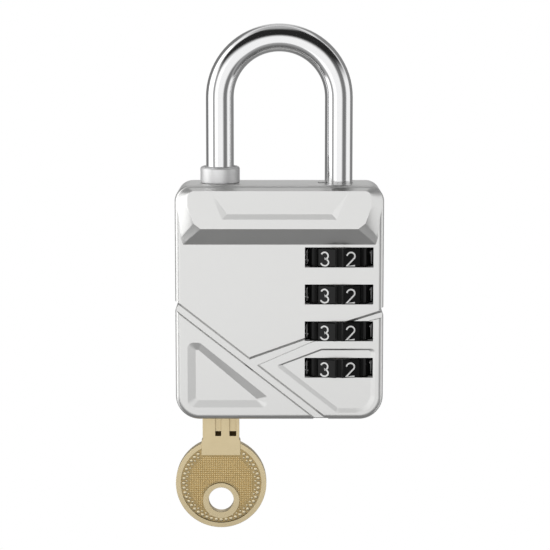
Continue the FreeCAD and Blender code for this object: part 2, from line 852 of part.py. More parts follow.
def make_carriage(doc, layout):
    """The plate on the sleeve's head, with two rails that guide the latch plate."""
    dims = layout.dims
    piece = Piece(doc, "carriage", layout.base)
    left = -layout.leg + 6.0
    inset = 0.8
    half = latch_half_width(layout) + dims["running_gap"]
    rail = half + CARRIAGE_RAIL
    plate = rectangle(left, layout.carriage_right, -rail, rail, inset)
    hole = Circle(layout.bar + dims["running_gap"], layout.leg)
    piece.add("XY", layout.head_top, dims["carriage_plate"], plate, hole)
    end = layout.leg - layout.bar - 1.5
    height = layout.latch_top - layout.carriage_top
    for low, high in ((-rail, -half), (half, rail)):
        piece.add("XY", layout.carriage_top, height, rectangle(left + inset, end, low, high))
    return piece


def latch_half_width(layout):
    """Half the width of the latch plate's tongue."""
    return layout.bar + 0.2


def make_latch_plate(doc, layout):
    """The plate whose tongue stands in the heel's groove and whose window holds the cam."""
    dims = layout.dims
    piece = Piece(doc, "latch_plate", layout.base)
    half = latch_half_width(layout)
    left = layout.cam_rest - layout.cam_window
    right = layout.cam_rest + layout.cam_window
    low = dims["latch_travel"] / 2 - layout.cam_window
    high = layout.cam_offset + layout.cam_window
    height = dims["latch_plate"]
    piece.add("XY", layout.latch_foot, height,
              rectangle(layout.latch_left, right + LATCH_FRAME, low - LATCH_FRAME, layout.latch_rear, 1.0))
    piece.add("XY", layout.latch_foot, height, rectangle(right, layout.leg, -half, half))
    piece.cut("XY", layout.latch_foot, height, Circle(layout.rod + dims["running_gap"], layout.leg))
    piece.cut("XY", layout.latch_foot, height,
              rectangle(layout.leg - layout.rod - 0.05, layout.leg + 1, -half - 1, half + 1))
    piece.cut("XY", layout.latch_foot, height, rectangle(left, right, low, high))
    return piece


def make_dial(doc, layout, number):
    """A number dial: ten flats with valleys between, a bore with notches and an inner lip."""
    dims = layout.dims
    height = dims["dial_height"]
    level = layout.base + layout.dial_level(number) - height / 2
    piece = Piece(doc, f"dial_{number}", level, layout.leg)
    bore = layout.flange + dims["running_gap"]
    corner = layout.dial / math.cos(math.pi / NUMBERS_ON_DIAL)
    turns = [2 * math.pi * step / NUMBERS_ON_DIAL for step in range(NUMBERS_ON_DIAL)]
    flats = Outline([(corner * math.sin(turn), corner * -math.cos(turn)) for turn in turns])
    piece.add("XY", 0, height, flats, Circle(bore))
    rim = layout.dial.number - 1e-3
    middle = height.number / 2

    def on_rim(point):
        return math.hypot(point.x, point.y) > rim and abs(abs(point.z - middle) - middle) < 1e-4

    piece.dress("Chamfer", 0.2, on_rim)
    valley = piece.cut("XY", 0, height, Circle(VALLEY_RADIUS, 0, -layout.dial_sweep - VALLEY_STAND))
    piece.repeat_round([valley], NUMBERS_ON_DIAL, False)
    lip = dims["dial_lip"]
    piece.add("XY", 0, lip, Circle(bore + 0.2), Circle(layout.hub + 3 * dims["running_gap"]))
    notch = layout.tooth + dims["running_gap"]
    half = TOOTH_HALF + 1.5 * dims["running_gap"]
    first = piece.cut("XY", lip, height, rectangle(-half, half, -notch, 0.3 - bore))
    piece.repeat_round([first], NUMBERS_ON_DIAL, False)
    return piece


def make_gate_ring(doc, layout, number):
    """The ring inside a dial, with the gate that lets the sleeve's fin pass."""
    dims = layout.dims
    gap = dims["running_gap"]
    height = layout.ring_height
    level = layout.base + layout.dial_level(number) - height / 2
    piece = Piece(doc, f"gate_ring_{number}", level, layout.leg)
    bore = layout.bar + gap
    piece.add("XY", 0, height, Circle(layout.hub), Circle(bore))
    lip = (height - dims["dial_height"]) / 2 + dims["dial_lip"] + dims["seat_gap"]
    thick = dims["dial_height"] - dims["dial_lip"] - 2 * gap
    piece.add("XY", lip, thick, Circle(layout.flange), Circle(layout.hub - 0.5))
    first = piece.add("XY", lip, thick,
                      rectangle(-TOOTH_HALF, TOOTH_HALF, -layout.tooth, 0.3 - layout.flange))
    piece.repeat_round([first], NUMBERS_ON_DIAL, True)
    gate = dims["fin_width"] / 2 + 1.25 * gap
    piece.cut("XY", 0, height, rectangle(-layout.fin - 1.5 * gap, 0.5 - layout.bar, -gate, gate))
    return piece


def make_detent_leaf(doc, layout):
    """The leaf behind the dials, with a nose over one valley of each dial."""
    dims = layout.dims
    turn = 90 + math.degrees(math.pi - DETENT_ANGLE)
    piece = Piece(doc, "detent_leaf", layout.base, layout.leg, turn)
    near, far, half = detent_leaf_radii(layout)
    foot = layout.lowest_dial - dims["dial_height"] + 0.3
    length = layout.dial_level(1) + dims["dial_height"] / 2 - foot
    piece.add("XY", foot, length, rectangle(near, far, -half, half))
    height = dims["dial_height"] - 1.4
    tip = layout.dial_sweep + dims["seat_gap"]
    root = near + 0.1
    nose = Outline([(tip, -0.2), (root, -0.55), (root, 0.55), (tip, 0.2)])
    first = piece.add("XY", layout.lowest_dial - height / 2, height, nose)
    piece.repeat_up([first], DIAL_COUNT, dims["dial_pitch"], True)
    return piece


def make_spring(doc, name, base, across, foot, length, radius, wire, coils):
    """A compression spring: wire wound round an upright axis."""
    piece = Piece(doc, name, base, across)
    section = piece.sketch("XZ", 0, Circle(wire / 2, radius, foot + wire / 2))
    helix = piece.body.newObject("PartDesign::AdditiveHelix", "Helix")
    helix.Profile = section
    helix.ReferenceAxis = (piece.origin["Z_Axis"], [""])
    helix.Mode = "height-turns-angle"
    bind(helix, "Height", length - wire)
    helix.Turns = coils
    piece.settle(helix, True)
    return piece


def make_lift_spring(doc, layout):
    """The spring that pushes the heel rod up."""
    foot = layout.dims["floor_wall"]
    return make_spring(doc, "lift_spring", layout.base, layout.leg,
                       foot, layout.rod_foot - foot, layout.rod, as_size(0.6), 6)


def make_cylinder_shell(doc, layout):
    """The key cylinder's fixed shell with its rib of pin chambers."""
    dims = layout.dims
    gap = dims["running_gap"]
    piece = Piece(doc, "cylinder_shell", layout.base)
    low = layout.shell_foot
    height = layout.shell_top - low
    front = 0.6 * gap - layout.seam
    piece.add("XY", low, height, Circle(layout.shell, -layout.leg))
    piece.add("XY", low, height,
              rectangle(-layout.leg - layout.shell, -layout.leg + layout.shell, front, 0))
    left, right = rib_sides(layout)
    foot = layout.rib_foot + dims["seat_gap"]
    piece.add("XY", foot, layout.shell_top - foot, rectangle(left, right, 0, layout.rib_back))
    piece.cut("XY", low, height, Circle(layout.plug_bore, -layout.leg))
    piece.cut("XY", low, PLUG_HEAD_TOP + gap - low, Circle(plug_head(layout) + gap, -layout.leg))
    chamber = Circle(dims["pin_diameter"] / 2 + dims["seat_gap"], layout.track - layout.leg,
                     layout.first_pin)
    row = piece.cut("XZ", 0, layout.rear, chamber, back=True)
    piece.repeat_up([row], KEY_PIN_COUNT, dims["pin_pitch"], False)
    cap_left, cap_right, cap_low, cap_high = pin_cap_box(layout)
    seat = dims["seat_gap"]
    piece.cut("XZ", -pin_cap_front(layout), 3 * CAP_SEAT,
              rectangle(cap_left - seat, cap_right + seat, cap_low - seat, cap_high + seat), back=True)
    cut_cross_pin_hole(piece, layout)
    return piece


def plug_head(layout):
    """Radius of the plug's head at the mouth of the keyway."""
    return layout.plug + PLUG_HEAD_RIM


def pin_cap_front(layout):
    """How far behind the keyway axis the pin cap begins."""
    return layout.rib_back - CAP_SEAT


def pin_cap_box(layout):
    """Sides, bottom and top of the strip that closes the pin chambers."""
    middle = layout.track - layout.leg
    half = layout.dims["pin_diameter"] / 2 + CAP_RIM
    return (middle - half, middle + half,
            layout.pin_height(0) - half, layout.pin_height(KEY_PIN_COUNT - 1) + half)


def make_pin_cap(doc, layout):
    """The strip that closes the pin chambers."""
    piece = Piece(doc, "pin_cap", layout.base)
    left, right, low, high = pin_cap_box(layout)
    front = pin_cap_front(layout) + layout.dims["seat_gap"] / 2
    piece.add("XZ", -front, layout.rib_back - front, rectangle(left, right, low, high), back=True)
    return piece


def make_cylinder_pin(doc, layout):
    """The cross pin through the case and the cylinder's rib."""
    radius, level, rear, left, right = cross_pin(layout)
    piece = Piece(doc, "cylinder_pin", layout.base)
    seat = layout.dims["seat_gap"]
    piece.add("YZ", left + seat, right - left - 2 * seat, Circle(radius, rear, level))
    return piece


def make_plug(doc, layout):
    """The turning plug with its keyway, pin chambers and the slot that drives the cam."""
    dims = layout.dims
    piece = Piece(doc, "plug", layout.base, -layout.leg)
    foot = 2 * dims["running_gap"]
    piece.add("XY", foot, layout.plug_top - foot, Circle(layout.plug))
    piece.add("XY", foot, PLUG_HEAD_TOP - foot, Circle(plug_head(layout)))
    wide = dims["neck_width"] / 2 + dims["running_gap"]
    thick = dims["key_thickness"] / 2 + dims["running_gap"]
    piece.cut("XY", foot, layout.keyway_top - foot, rectangle(-wide, wide, -thick, thick))
    tang = TANG_HALF + dims["seat_gap"]
    side = layout.plug + OVERLAP
    piece.cut("XY", layout.plug_top - TANG_DEPTH, TANG_DEPTH, rectangle(-side, side, -tang, tang))
    chamber = Circle(dims["pin_diameter"] / 2 + dims["seat_gap"], layout.track, layout.first_pin)
    row = piece.cut("XZ", 0, side, chamber, back=True)
    piece.repeat_up([row], KEY_PIN_COUNT, dims["pin_pitch"], False)
    return piece


def make_cam_shaft(doc, layout):
    """The shaft on the plug with the eccentric disc that draws the latch plate back."""
    dims = layout.dims
    piece = Piece(doc, "cam_shaft", layout.base, -layout.leg)
    seat = dims["seat_gap"]
    foot = layout.plug_top + seat
    piece.add("XY", foot, layout.groove_foot - foot, Circle(layout.shaft))
    collar = layout.plug + 0.6
    piece.add("XY", foot, 0.8, Circle(collar))
    reach = layout.plug - 0.6
    tang_foot = layout.plug_top - TANG_DEPTH + 2 * seat
    piece.add("XY", tang_foot, foot - tang_foot + seat, rectangle(-reach, reach, -TANG_HALF, TANG_HALF))
    shift = dims["latch_travel"] / 2
    piece.add("XY", layout.groove_foot, layout.groove_top - layout.groove_foot,
              Circle(dims["cam_radius"], shift, shift))
    return piece


def track_depth(index):
    """Depth of the key's pin track at each pin: deeper towards the tip."""
    return 0.35 + 0.1 * (index + index // 2)


def make_key_pins(doc, layout):
    """The pins in the plug, each with its nose on the floor of the key's track."""
    dims = layout.dims
    radius = dims["pin_diameter"] / 2
    surface = dims["key_thickness"] / 2
    piece = Piece(doc, "key_pins", layout.base, -layout.leg)
    for index in range(KEY_PIN_COUNT):
        level = layout.pin_height(index)
        nose = surface - track_depth(index) + dims["seat_gap"]
        shoulder = surface + 1.5 * dims["running_gap"]
        end = chord(layout.plug, layout.track + radius) - dims["seat_gap"]
        piece.add("XZ", -nose, end - nose, Circle(dims["track_width"] / 2 - 0.15, layout.track, level),
                  back=True)
        piece.add("XZ", -shoulder, end - shoulder, Circle(radius, layout.track, level), back=True)
    return piece


def make_driver_pins(doc, layout):
    """The pins in the rib, behind the shear line."""
    dims = layout.dims
    piece = Piece(doc, "driver_pins", layout.base, -layout.leg)
    first = piece.add("XZ", -driver_front(layout), DRIVER_LENGTH,
                      Circle(dims["pin_diameter"] / 2, layout.track, layout.first_pin), back=True)
    piece.repeat_up([first], KEY_PIN_COUNT, dims["pin_pitch"], True)
    return piece


def driver_front(layout):
    """Where the driver pins begin, just clear of the turning plug."""
    return layout.plug_bore + layout.dims["seat_gap"]


def make_pin_springs(doc, layout):
    """The springs that press the driver pins towards the plug."""
    dims = layout.dims
    piece = Piece(doc, "pin_springs", layout.base, -layout.leg)
    front = driver_front(layout) + DRIVER_LENGTH
    length = pin_cap_front(layout) - front
    outer = dims["pin_diameter"] / 2 - 0.1
    first = piece.add("XZ", -front, length, Circle(outer, layout.track, layout.first_pin),
                      Circle(outer - 0.25, layout.track, layout.first_pin), back=True)
    piece.repeat_up([first], KEY_PIN_COUNT, dims["pin_pitch"], True)
    return piece


def make_key(doc, layout):
    """The override key: round bow with a rim and a ring hole, neck plate, milled blade."""
    dims = layout.dims
    piece = Piece(doc, "key", layout.base, -layout.leg)
    thick = dims["key_thickness"]
    drop = -dims["key_bow_drop"]
    bow = dims["key_bow_diameter"] / 2
    hole = Circle(dims["ring_hole_diameter"] / 2, 0, -dims["ring_hole_drop"])
    boss = Circle(dims["ring_hole_diameter"] / 2 + 1.25, 0, -dims["ring_hole_drop"] - 0.2)
    bow_face = thick / 2 - 0.1
    piece.add("XZ", -bow_face, 2 * bow_face, Circle(bow, 0, drop))
    field = Circle(bow - 1.1, 0, drop)
    recess = 0.3
    piece.cut("XZ", bow_face - recess, OVERLAP, field)
    piece.cut("XZ", recess - bow_face, OVERLAP, field, back=True)
    piece.add("XZ", -bow_face, 2 * bow_face, boss)
    piece.cut("XZ", -thick, 2 * thick, hole)
    half = dims["neck_width"] / 2
    neck_foot = drop + 6.35
    flare = half + NECK_FLARE
    tip = layout.blade
    bevel = 2.0
    piece.add("XZ", -thick / 2, thick, Outline([
        (-flare, neck_foot),
        (flare, neck_foot),
        (flare, neck_foot + 3.2),
        (half, neck_foot + 3.6),
        (half, tip - bevel),
        (half - bevel, tip),
        (bevel - half, tip),
        (-half, tip - bevel),
        (-half, neck_foot + 3.6),
        (-flare, neck_foot + 3.2),
    ]))
    mill_tracks(piece, layout)
    return piece


def mill_tracks(piece, layout):
    """Two tracks on each face of the blade; the rear middle one steps down to the tip."""
    dims = layout.dims
    face = dims["key_thickness"] / 2
    tip = layout.blade + OVERLAP
    start = as_size(-4.1)
    slim = dims["track_width"] / 2
    wide = slim + 0.1
    side = dims["neck_width"] / 2 - 1.4
    plain = 0.7
    shallow = Outline([
        (-face - OVERLAP, start - MILL_RAMP),
        (-face, start - MILL_RAMP),
        (plain - face, start),
        (plain - face, tip),
        (-face - OVERLAP, tip),
    ])
    for across, half in ((-layout.track, slim), (side, wide)):
        piece.cut("YZ", across - half, 2 * half, shallow)
    behind = Outline([(-across, up) for across, up, radius in reversed(shallow.corners)])
    piece.cut("YZ", -side - wide, 2 * wide, behind)
    low = start
    for index in range(KEY_PIN_COUNT):
        shape = rectangle(layout.track - slim, layout.track + slim, low, tip)
        piece.cut("XZ", track_depth(index) - face, OVERLAP, shape, back=True)
        low = layout.pin_height(index) + dims["pin_pitch"] / 2


def make_cover_pins(doc, layout):
    """The pins that join the two shells."""
    dims = layout.dims
    piece = Piece(doc, "cover_pins", layout.base)
    circles = [Circle(dims["cover_pin_diameter"] / 2, across, up)
               for across, up in layout.cover_pin_places()]
    depth = COVER_PIN_DEPTH - dims["running_gap"]
    piece.add("XZ", layout.seam - depth, depth + COVER_PIN_RISE - dims["running_gap"], *circles)
    return piece


def build(doc):
    """Builds every piece and returns the bodies."""
    layout = Layout(make_sheet(doc))
    makers = [
        make_front_cover, make_rear_case, make_collar, make_cover_pins,
        make_shackle, make_rod_clip, make_sleeve, make_carriage, make_latch_plate,
        make_lift_spring, make_detent_leaf, make_cylinder_shell, make_cylinder_pin,
        make_pin_cap, make_driver_pins, make_pin_springs, make_plug, make_cam_shaft,
        make_key_pins, make_key,
    ]
    pieces = [maker(doc, layout) for maker in makers]
    for number in range(1, DIAL_COUNT + 1):
        pieces.append(make_dial(doc, layout, number))
        pieces.append(make_gate_ring(doc, layout, number))
    return [piece.body for piece in pieces]


def check(doc, bodies):
    """Stops if any feature failed or any piece is empty or not valid."""
    doc.recompute()
    for thing in doc.Objects:
        if "Invalid" in thing.State or "Error" in thing.State:
            raise ValueError(f"{thing.Label} failed: {thing.State}")
    for body in bodies:
        if body.Shape.isNull() or not body.Shape.isValid():
            raise ValueError(f"{body.Label} has no valid shape")


def write(bodies):
    """Writes one file for each piece and prints its volume."""
    os.makedirs("parts", exist_ok=True)
    for body in bodies:
        body.Shape.exportStep(f"parts/{body.Label}.step")
        print(f"{body.Label}: {body.Shape.Volume:.1f} mm3, {len(body.Shape.Solids)} solids")


document = FreeCAD.newDocument("padlock")
bodies = build(document)
check(document, bodies)
write(bodies)
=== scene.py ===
# %% [markdown]
# # A combination padlock with four number dials
# The lock has a satin silver case, a polished shackle, four black dials behind windows in
# the front, and a brass key in a cylinder at its foot. The shapes come from the frame, which
# holds the solid parts. Most of them only need a finish. Those whose edges or figures show
# are made again here in mesh code, in the same place. Lengths are in metres; MM turns
# millimetres into metres.

# %% The frame
import json
import math

import bmesh
import bpy
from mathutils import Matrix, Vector


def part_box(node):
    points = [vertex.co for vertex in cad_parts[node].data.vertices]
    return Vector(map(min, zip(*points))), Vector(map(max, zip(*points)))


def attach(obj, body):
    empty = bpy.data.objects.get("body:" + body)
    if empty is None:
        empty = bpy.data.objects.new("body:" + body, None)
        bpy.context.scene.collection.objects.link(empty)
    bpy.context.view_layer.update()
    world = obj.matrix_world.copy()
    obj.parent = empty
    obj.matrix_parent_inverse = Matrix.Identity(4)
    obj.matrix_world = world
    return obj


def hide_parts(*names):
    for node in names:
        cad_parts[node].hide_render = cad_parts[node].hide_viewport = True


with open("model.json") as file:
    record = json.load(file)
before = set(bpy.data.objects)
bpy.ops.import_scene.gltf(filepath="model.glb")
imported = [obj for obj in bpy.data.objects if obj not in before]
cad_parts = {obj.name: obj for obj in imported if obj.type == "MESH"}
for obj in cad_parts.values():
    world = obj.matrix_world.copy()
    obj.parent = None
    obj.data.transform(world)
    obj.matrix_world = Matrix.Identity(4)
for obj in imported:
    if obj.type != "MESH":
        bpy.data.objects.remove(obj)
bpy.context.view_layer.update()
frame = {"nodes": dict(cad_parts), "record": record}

MM = 0.001
nodes = frame["nodes"]

# %% [markdown]
# ## The camera
# A photograph of a small product is mostly taken with a long lens from some way off, which
# keeps the sides of the case almost parallel. A wide lens close by would make the case
# bulge. The camera stands a little above the middle of the lock, so that the top of the case
# just shows.

# %% Camera
AIM = Vector((-0.94, 0, -48.62)) * MM
DISTANCE = 487 * MM
ELEVATION = math.radians(8.7)
LENS = 146
FARTHEST_SEEN = 20

camera = bpy.data.objects.new("camera", bpy.data.cameras.new("camera"))
bpy.context.scene.collection.objects.link(camera)
towards_camera = Vector((0, -math.cos(ELEVATION), math.sin(ELEVATION)))
camera.location = AIM + DISTANCE * towards_camera
camera.rotation_euler = (-towards_camera).to_track_quat("-Z", "Y").to_euler()
camera.data.lens = LENS
camera.data.clip_end = FARTHEST_SEEN
bpy.context.scene.camera = camera
bpy.context.scene.view_settings.view_transform = "Standard"
print("camera at", [round(value / MM) for value in camera.location], "mm")

# %% [markdown]
# ## Sums on sockets
# A roughness that follows a grain is a sum of a number and a texture. Written as links
# between Math nodes it is hard to read, so `Value` wraps one socket, and `+` and `*` on it
# add the Math nodes. Both work with the number on either side.

# %% Value
class Value:
    """A socket that takes part in sums."""

    def __init__(self, finish, socket):
        self.finish = finish
        self.socket = socket

    def math(self, operation, other):
        return self.finish.node("Math", {"operation": operation}, {0: self, 1: other})

    def __add__(self, other):
        return self.math("ADD", other)

    def __mul__(self, other):
        return self.math("MULTIPLY", other)

    __radd__ = __add__
    __rmul__ = __mul__


print("sums are ready")

# %% [markdown]
# ## Finishes
# A material is a tree of nodes. It could be wired by hand, but a finish reads better as a
# short recipe. `Finish.node` makes any node from its type, its settings and the values or
# links of its sockets, and the other methods are the few steps that come up in most of the
# recipes: a noise, a blend of two colours, a relief and the shader at the end.

# %% Finish
class Finish:
    """A material, or the world, that is written node by node."""

    def __init__(self, name, makes=bpy.data.materials):
        self.material = makes.new(name)
        self.material.use_nodes = True
        self.tree = self.material.node_tree
        self.tree.nodes.clear()

    def node(self, kind, settings=None, inputs=None, output=0):
        """Makes a node and gives one of its outputs."""
        made = self.tree.nodes.new("ShaderNode" + kind)
        for name, setting in (settings or {}).items():
            setattr(made, name, setting)
        for name, value in (inputs or {}).items():
            if isinstance(value, Value):
                self.tree.links.new(value.socket, made.inputs[name])
            else:
                made.inputs[name].default_value = value
        return Value(self, made.outputs[output]) if made.outputs else None

    def place(self, stretch=(1, 1, 1)):
        """Places in the frame, in metres, stretched along each axis."""
        coordinates = self.node("TexCoord", output="Object")
        return self.node("VectorMath", {"operation": "MULTIPLY"}, {0: coordinates, 1: stretch})

    def noise(self, size, detail=2.0, stretch=(1, 1, 1)):
        """Soft noise whose patches are about the given size across."""
        return self.node("TexNoise", {}, {
            "Vector": self.place(stretch),
            "Scale": 1 / size,
            "Detail": detail,
        })

    def blend(self, factor, first, second):
        """One colour where the factor is 0, the other where it is 1."""
        return self.node("Mix", {"data_type": "RGBA"}, {0: factor, 6: first, 7: second}, output=2)

    def relief(self, height, depth, strength):
        """A bumped normal from a height that runs from 0 to 1."""
        return self.node("Bump", {}, {"Height": height, "Distance": depth, "Strength": strength})

    def surface(self, **inputs):
        """Ends the material in one Principled shader."""
        named = {name.replace("_", " "): value for name, value in inputs.items()}
        shader = self.node("BsdfPrincipled", {}, named)
        self.node("OutputMaterial", {}, {"Surface": shader})
        return self.material


def colour(red, green, blue):
    """A colour for a socket, from linear values."""
    return (red, green, blue, 1)


print("finishes are ready")

# %% [markdown]
# ## The tent
# Bright metal is a picture of its surroundings, so the studio is built before any finish is
# judged. It is a white tent. The world and a floor far below are white to the camera and in
# reflections, but only a quiet grey as light, because a world that is white as light too
# would wash out every shade on the lock.

# %% Tent
WHITE = colour(1, 1, 1)
FLOOR_DROP = -0.75
FLOOR_REACH = 4.0


def background_rays(finish):
    """1 for rays that show the background: from the camera, off metal or through glass."""
    camera_ray = finish.node("LightPath", output="Is Camera Ray")
    glossy_ray = finish.node("LightPath", output="Is Glossy Ray")
    clear_ray = finish.node("LightPath", output="Is Transmission Ray")
    return camera_ray + glossy_ray + clear_ray


world_finish = Finish("studio", bpy.data.worlds)
bpy.context.scene.world = world_finish.material
shades = world_finish.blend(background_rays(world_finish), colour(0.22, 0.22, 0.225), WHITE)
sky = world_finish.node("Background", {}, {"Color": shades, "Strength": 1.0})
world_finish.node("OutputWorld", {}, {"Surface": sky})

floor_mesh = bpy.data.meshes.new("floor")
floor_mesh.from_pydata(
    [(-FLOOR_REACH, -FLOOR_REACH, FLOOR_DROP), (FLOOR_REACH, -FLOOR_REACH, FLOOR_DROP),
     (FLOOR_REACH, FLOOR_REACH, FLOOR_DROP), (-FLOOR_REACH, FLOOR_REACH, FLOOR_DROP)],
    [], [(0, 1, 2, 3)])
floor = bpy.data.objects.new("floor", floor_mesh)
bpy.context.scene.collection.objects.link(floor)
floor_finish = Finish("floor_pale")
paper = floor_finish.node("BsdfDiffuse", {}, {"Color": colour(0.5, 0.5, 0.5)})
glow = floor_finish.node("Emission", {}, {"Color": WHITE, "Strength": 1.0})
mixed = floor_finish.node("MixShader", {}, {0: background_rays(floor_finish), 1: paper, 2: glow})
floor_finish.node("OutputMaterial", {}, {"Surface": mixed})
floor_mesh.materials.append(floor_finish.material)
print("a white tent with its floor", -FLOOR_DROP, "m down")

# %% [markdown]
# ## Panels
# Large area lights act as the soft boxes of a studio: small lamps would leave hard spots on
# the chrome. A panel's power follows from how bright its face is, so that a wider panel
# isn't a dimmer one. The first three light the paint and the plastic and stay out of
# reflections. The two glows show in the metal, where they lift the left edge and the front.

# %% Panels
CENTRE = Vector((0, 0, -50 * MM))


def direction(azimuth, elevation):
    """A direction seen from the lock: azimuth 0 is the front, 90 the right."""
    turn = math.radians(azimuth)
    rise = math.radians(elevation)
    return Vector((math.sin(turn) * math.cos(rise), -math.cos(turn) * math.cos(rise), math.sin(rise)))


def panel(name, azimuth, elevation, distance, size, radiance, in_metal=False):
    """A soft rectangular light that faces the lock."""
    width, height = size
    light = bpy.data.lights.new(name, "AREA")
    light.shape = "RECTANGLE"
    light.size = width
    light.size_y = height
    light.energy = radiance * math.pi * width * height
    lamp = bpy.data.objects.new(name, light)
    bpy.context.scene.collection.objects.link(lamp)
    way = direction(azimuth, elevation)
    lamp.location = CENTRE + way * distance
    lamp.rotation_euler = (-way).to_track_quat("-Z", "Y").to_euler()
    lamp.visible_camera = False
    lamp.visible_glossy = in_metal
    return lamp


panels = [
    panel("front_panel", azimuth=-5, elevation=0, distance=0.9, size=(1.6, 1.5), radiance=0.83),
    panel("left_panel", azimuth=-86, elevation=8, distance=0.7, size=(0.62, 1.3), radiance=1.25),
    panel("right_panel", azimuth=90, elevation=8, distance=0.7, size=(0.56, 1.3), radiance=0.58),
    panel("left_glow", azimuth=-83, elevation=4, distance=0.7, size=(0.54, 1.3), radiance=0.55,
          in_metal=True),
    panel("front_glow", azimuth=-29, elevation=0, distance=0.7, size=(0.28, 1.3), radiance=0.2,
          in_metal=True),
]
print(len(panels), "panels")

# %% [markdown]
# ## Card paper
# A polished bar in a white tent would be white all over. In a studio, dark cards hang
# round such an object, and the edges of the cards draw its form. The cards here are grey
# meshes that glow by themselves, so their shade in a reflection is exact. Each point of a
# card keeps a shade and a cover, and the cover runs out to nothing at the borders, as an
# edge that is out of focus does.

# %% Card paper
def card_paper():
    """Grey paper whose shade and cover are kept in the card's mesh."""
    finish = Finish("card_paper")
    shade = finish.node("Attribute", {"attribute_name": "shade"}, output="Color")
    cover = finish.node("Attribute", {"attribute_name": "cover"}, output="Fac")
    grey = finish.node("Emission", {}, {"Color": shade, "Strength": 1.0})
    clear = finish.node("BsdfTransparent", {}, {"Color": WHITE})
    mixed = finish.node("MixShader", {}, {0: cover, 1: clear, 2: grey})
    finish.node("OutputMaterial", {}, {"Surface": mixed})
    return finish.material


CARD_PAPER = card_paper()


def hang(name, columns, rows, places, covers, greys):
    """Makes a card from a grid of points; only reflections see it."""
    faces = []
    for column in range(columns):
        for row in range(rows):
            corner = column * (rows + 1) + row
            faces.append((corner, corner + rows + 1, corner + rows + 2, corner + 1))
    mesh = bpy.data.meshes.new(name)
    mesh.from_pydata(places, [], faces)
    mesh.attributes.new("cover", "FLOAT", "POINT").data.foreach_set("value", covers)
    shades = mesh.attributes.new("shade", "FLOAT_COLOR", "POINT")
    shades.data.foreach_set("color", [part for grey in greys for part in (grey, grey, grey, 1)])
    mesh.materials.append(CARD_PAPER)
    thing = bpy.data.objects.new(name, mesh)
    thing.location = CENTRE
    thing.visible_camera = False
    thing.visible_diffuse = False
    thing.visible_shadow = False
    bpy.context.scene.collection.objects.link(thing)
    return thing


print("card paper is ready")

# %% [markdown]
# ## Cards round the lock
# These cards lie on a sphere round the lock, so each one is a patch of directions. The one
# above the camera makes the dark band along the bow, the narrow ones at the sides draw the
# lines on the legs, and those below and behind shade the faces that look down or away.
# Each next card hangs a little nearer than the one before, so no two share a place.

# %% Round cards
CARD_DISTANCE = 0.68
CARD_LAYER = 0.02
CARD_STEP = 4


def ease(value):
    """A smooth step from 0 to 1."""
    value = min(max(value, 0), 1)
    return value * value * (3 - 2 * value)


def round_card(name, layer, azimuths, elevations, grey, fades):
    """A card on a sphere round the lock; a fade of 0 leaves a border whole."""
    left, right = azimuths
    low, high = elevations
    side_fade, low_fade, high_fade = fades
    columns = math.ceil((right - left) / CARD_STEP)
    rows = math.ceil((high - low) / CARD_STEP)
    places = []
    covers = []
    for column in range(columns + 1):
        azimuth = left + (right - left) * column / columns
        for row in range(rows + 1):
            elevation = low + (high - low) * row / rows
            cover = 1
            for room, fade in ((azimuth - left, side_fade), (right - azimuth, side_fade),
                               (elevation - low, low_fade), (high - elevation, high_fade)):
                if fade:
                    cover *= ease(room / fade)
            places.append(direction(azimuth, elevation) * (CARD_DISTANCE - CARD_LAYER * layer))
            covers.append(cover)
    return hang(name, columns, rows, places, covers, [grey] * len(places))


# Azimuths, elevations, grey, and the fades at the sides, below and above. Angles are in degrees.
ROUND_CARDS = {
    "card_below": ((-180, 180), (-90, -36), 0.15, (0, 0, 20)),
    "card_ceiling": ((-180, 180), (56, 90), 0.46, (0, 16, 0)),
    "card_behind_left": ((-200, -104), (-90, 62), 0.2, (10, 0, 12)),
    "card_behind_right": ((98, 200), (-90, 62), 0.24, (8, 0, 12)),
    "card_behind": ((162, 198), (-30, 62), 0.6, (8, 12, 12)),
    "card_right": ((58, 110), (-60, 70), 1.0, (10, 12, 12)),
    "card_right_gap": ((21, 70), (-70, 70), 0.2, (14, 12, 12)),
    "card_left_gap": ((-61, -41), (-70, 70), 0.3, (6, 12, 12)),
    "card_above": ((-78, 104), (14, 90), 0.02, (14, 20, 20)),
}
cards = [round_card(name, layer, *measures) for layer, (name, measures) in enumerate(ROUND_CARDS.items())]
print(len(cards), "cards round the lock")

# %% [markdown]
# ## The card in front of the foot
# The walls of the grooves and recesses that look down are darkest near the foot of the
# case. A far card can't do that, because it looks the same from the foot and from the brow.
# This one lies flat and close below the lock, so the low walls see it and the brow sees
# past it. It is dark near the lock and lighter farther out.

# %% Table card
TABLE_DROP = -107 * MM
TABLE_HALF = 300 * MM
TABLE_FRONT = -215 * MM
TABLE_BACK = -15 * MM
TABLE_CELLS = 20
TABLE_FRONT_FADE = 45 * MM
TABLE_SIDE_FADE = 60 * MM
TABLE_GREY = 0.16
TABLE_FAR_RISE = 0.2
TABLE_FAR_START = -60 * MM
TABLE_FAR_FADE = 90 * MM


def table_card():
    """A flat card low in front of the lock, dark near it and lighter farther out."""
    places = []
    covers = []
    greys = []
    for column in range(TABLE_CELLS + 1):
        across = TABLE_HALF * (2 * column / TABLE_CELLS - 1)
        side_cover = ease((TABLE_HALF - abs(across)) / TABLE_SIDE_FADE)
        for row in range(TABLE_CELLS + 1):
            along = TABLE_FRONT + (TABLE_BACK - TABLE_FRONT) * row / TABLE_CELLS
            places.append((across, along, TABLE_DROP))
            covers.append(ease((along - TABLE_FRONT) / TABLE_FRONT_FADE) * side_cover)
            greys.append(TABLE_GREY + TABLE_FAR_RISE * ease((TABLE_FAR_START - along) / TABLE_FAR_FADE))
    return hang("card_table", TABLE_CELLS, TABLE_CELLS, places, covers, greys)


cards.append(table_card())
print(len(cards), "cards in all")

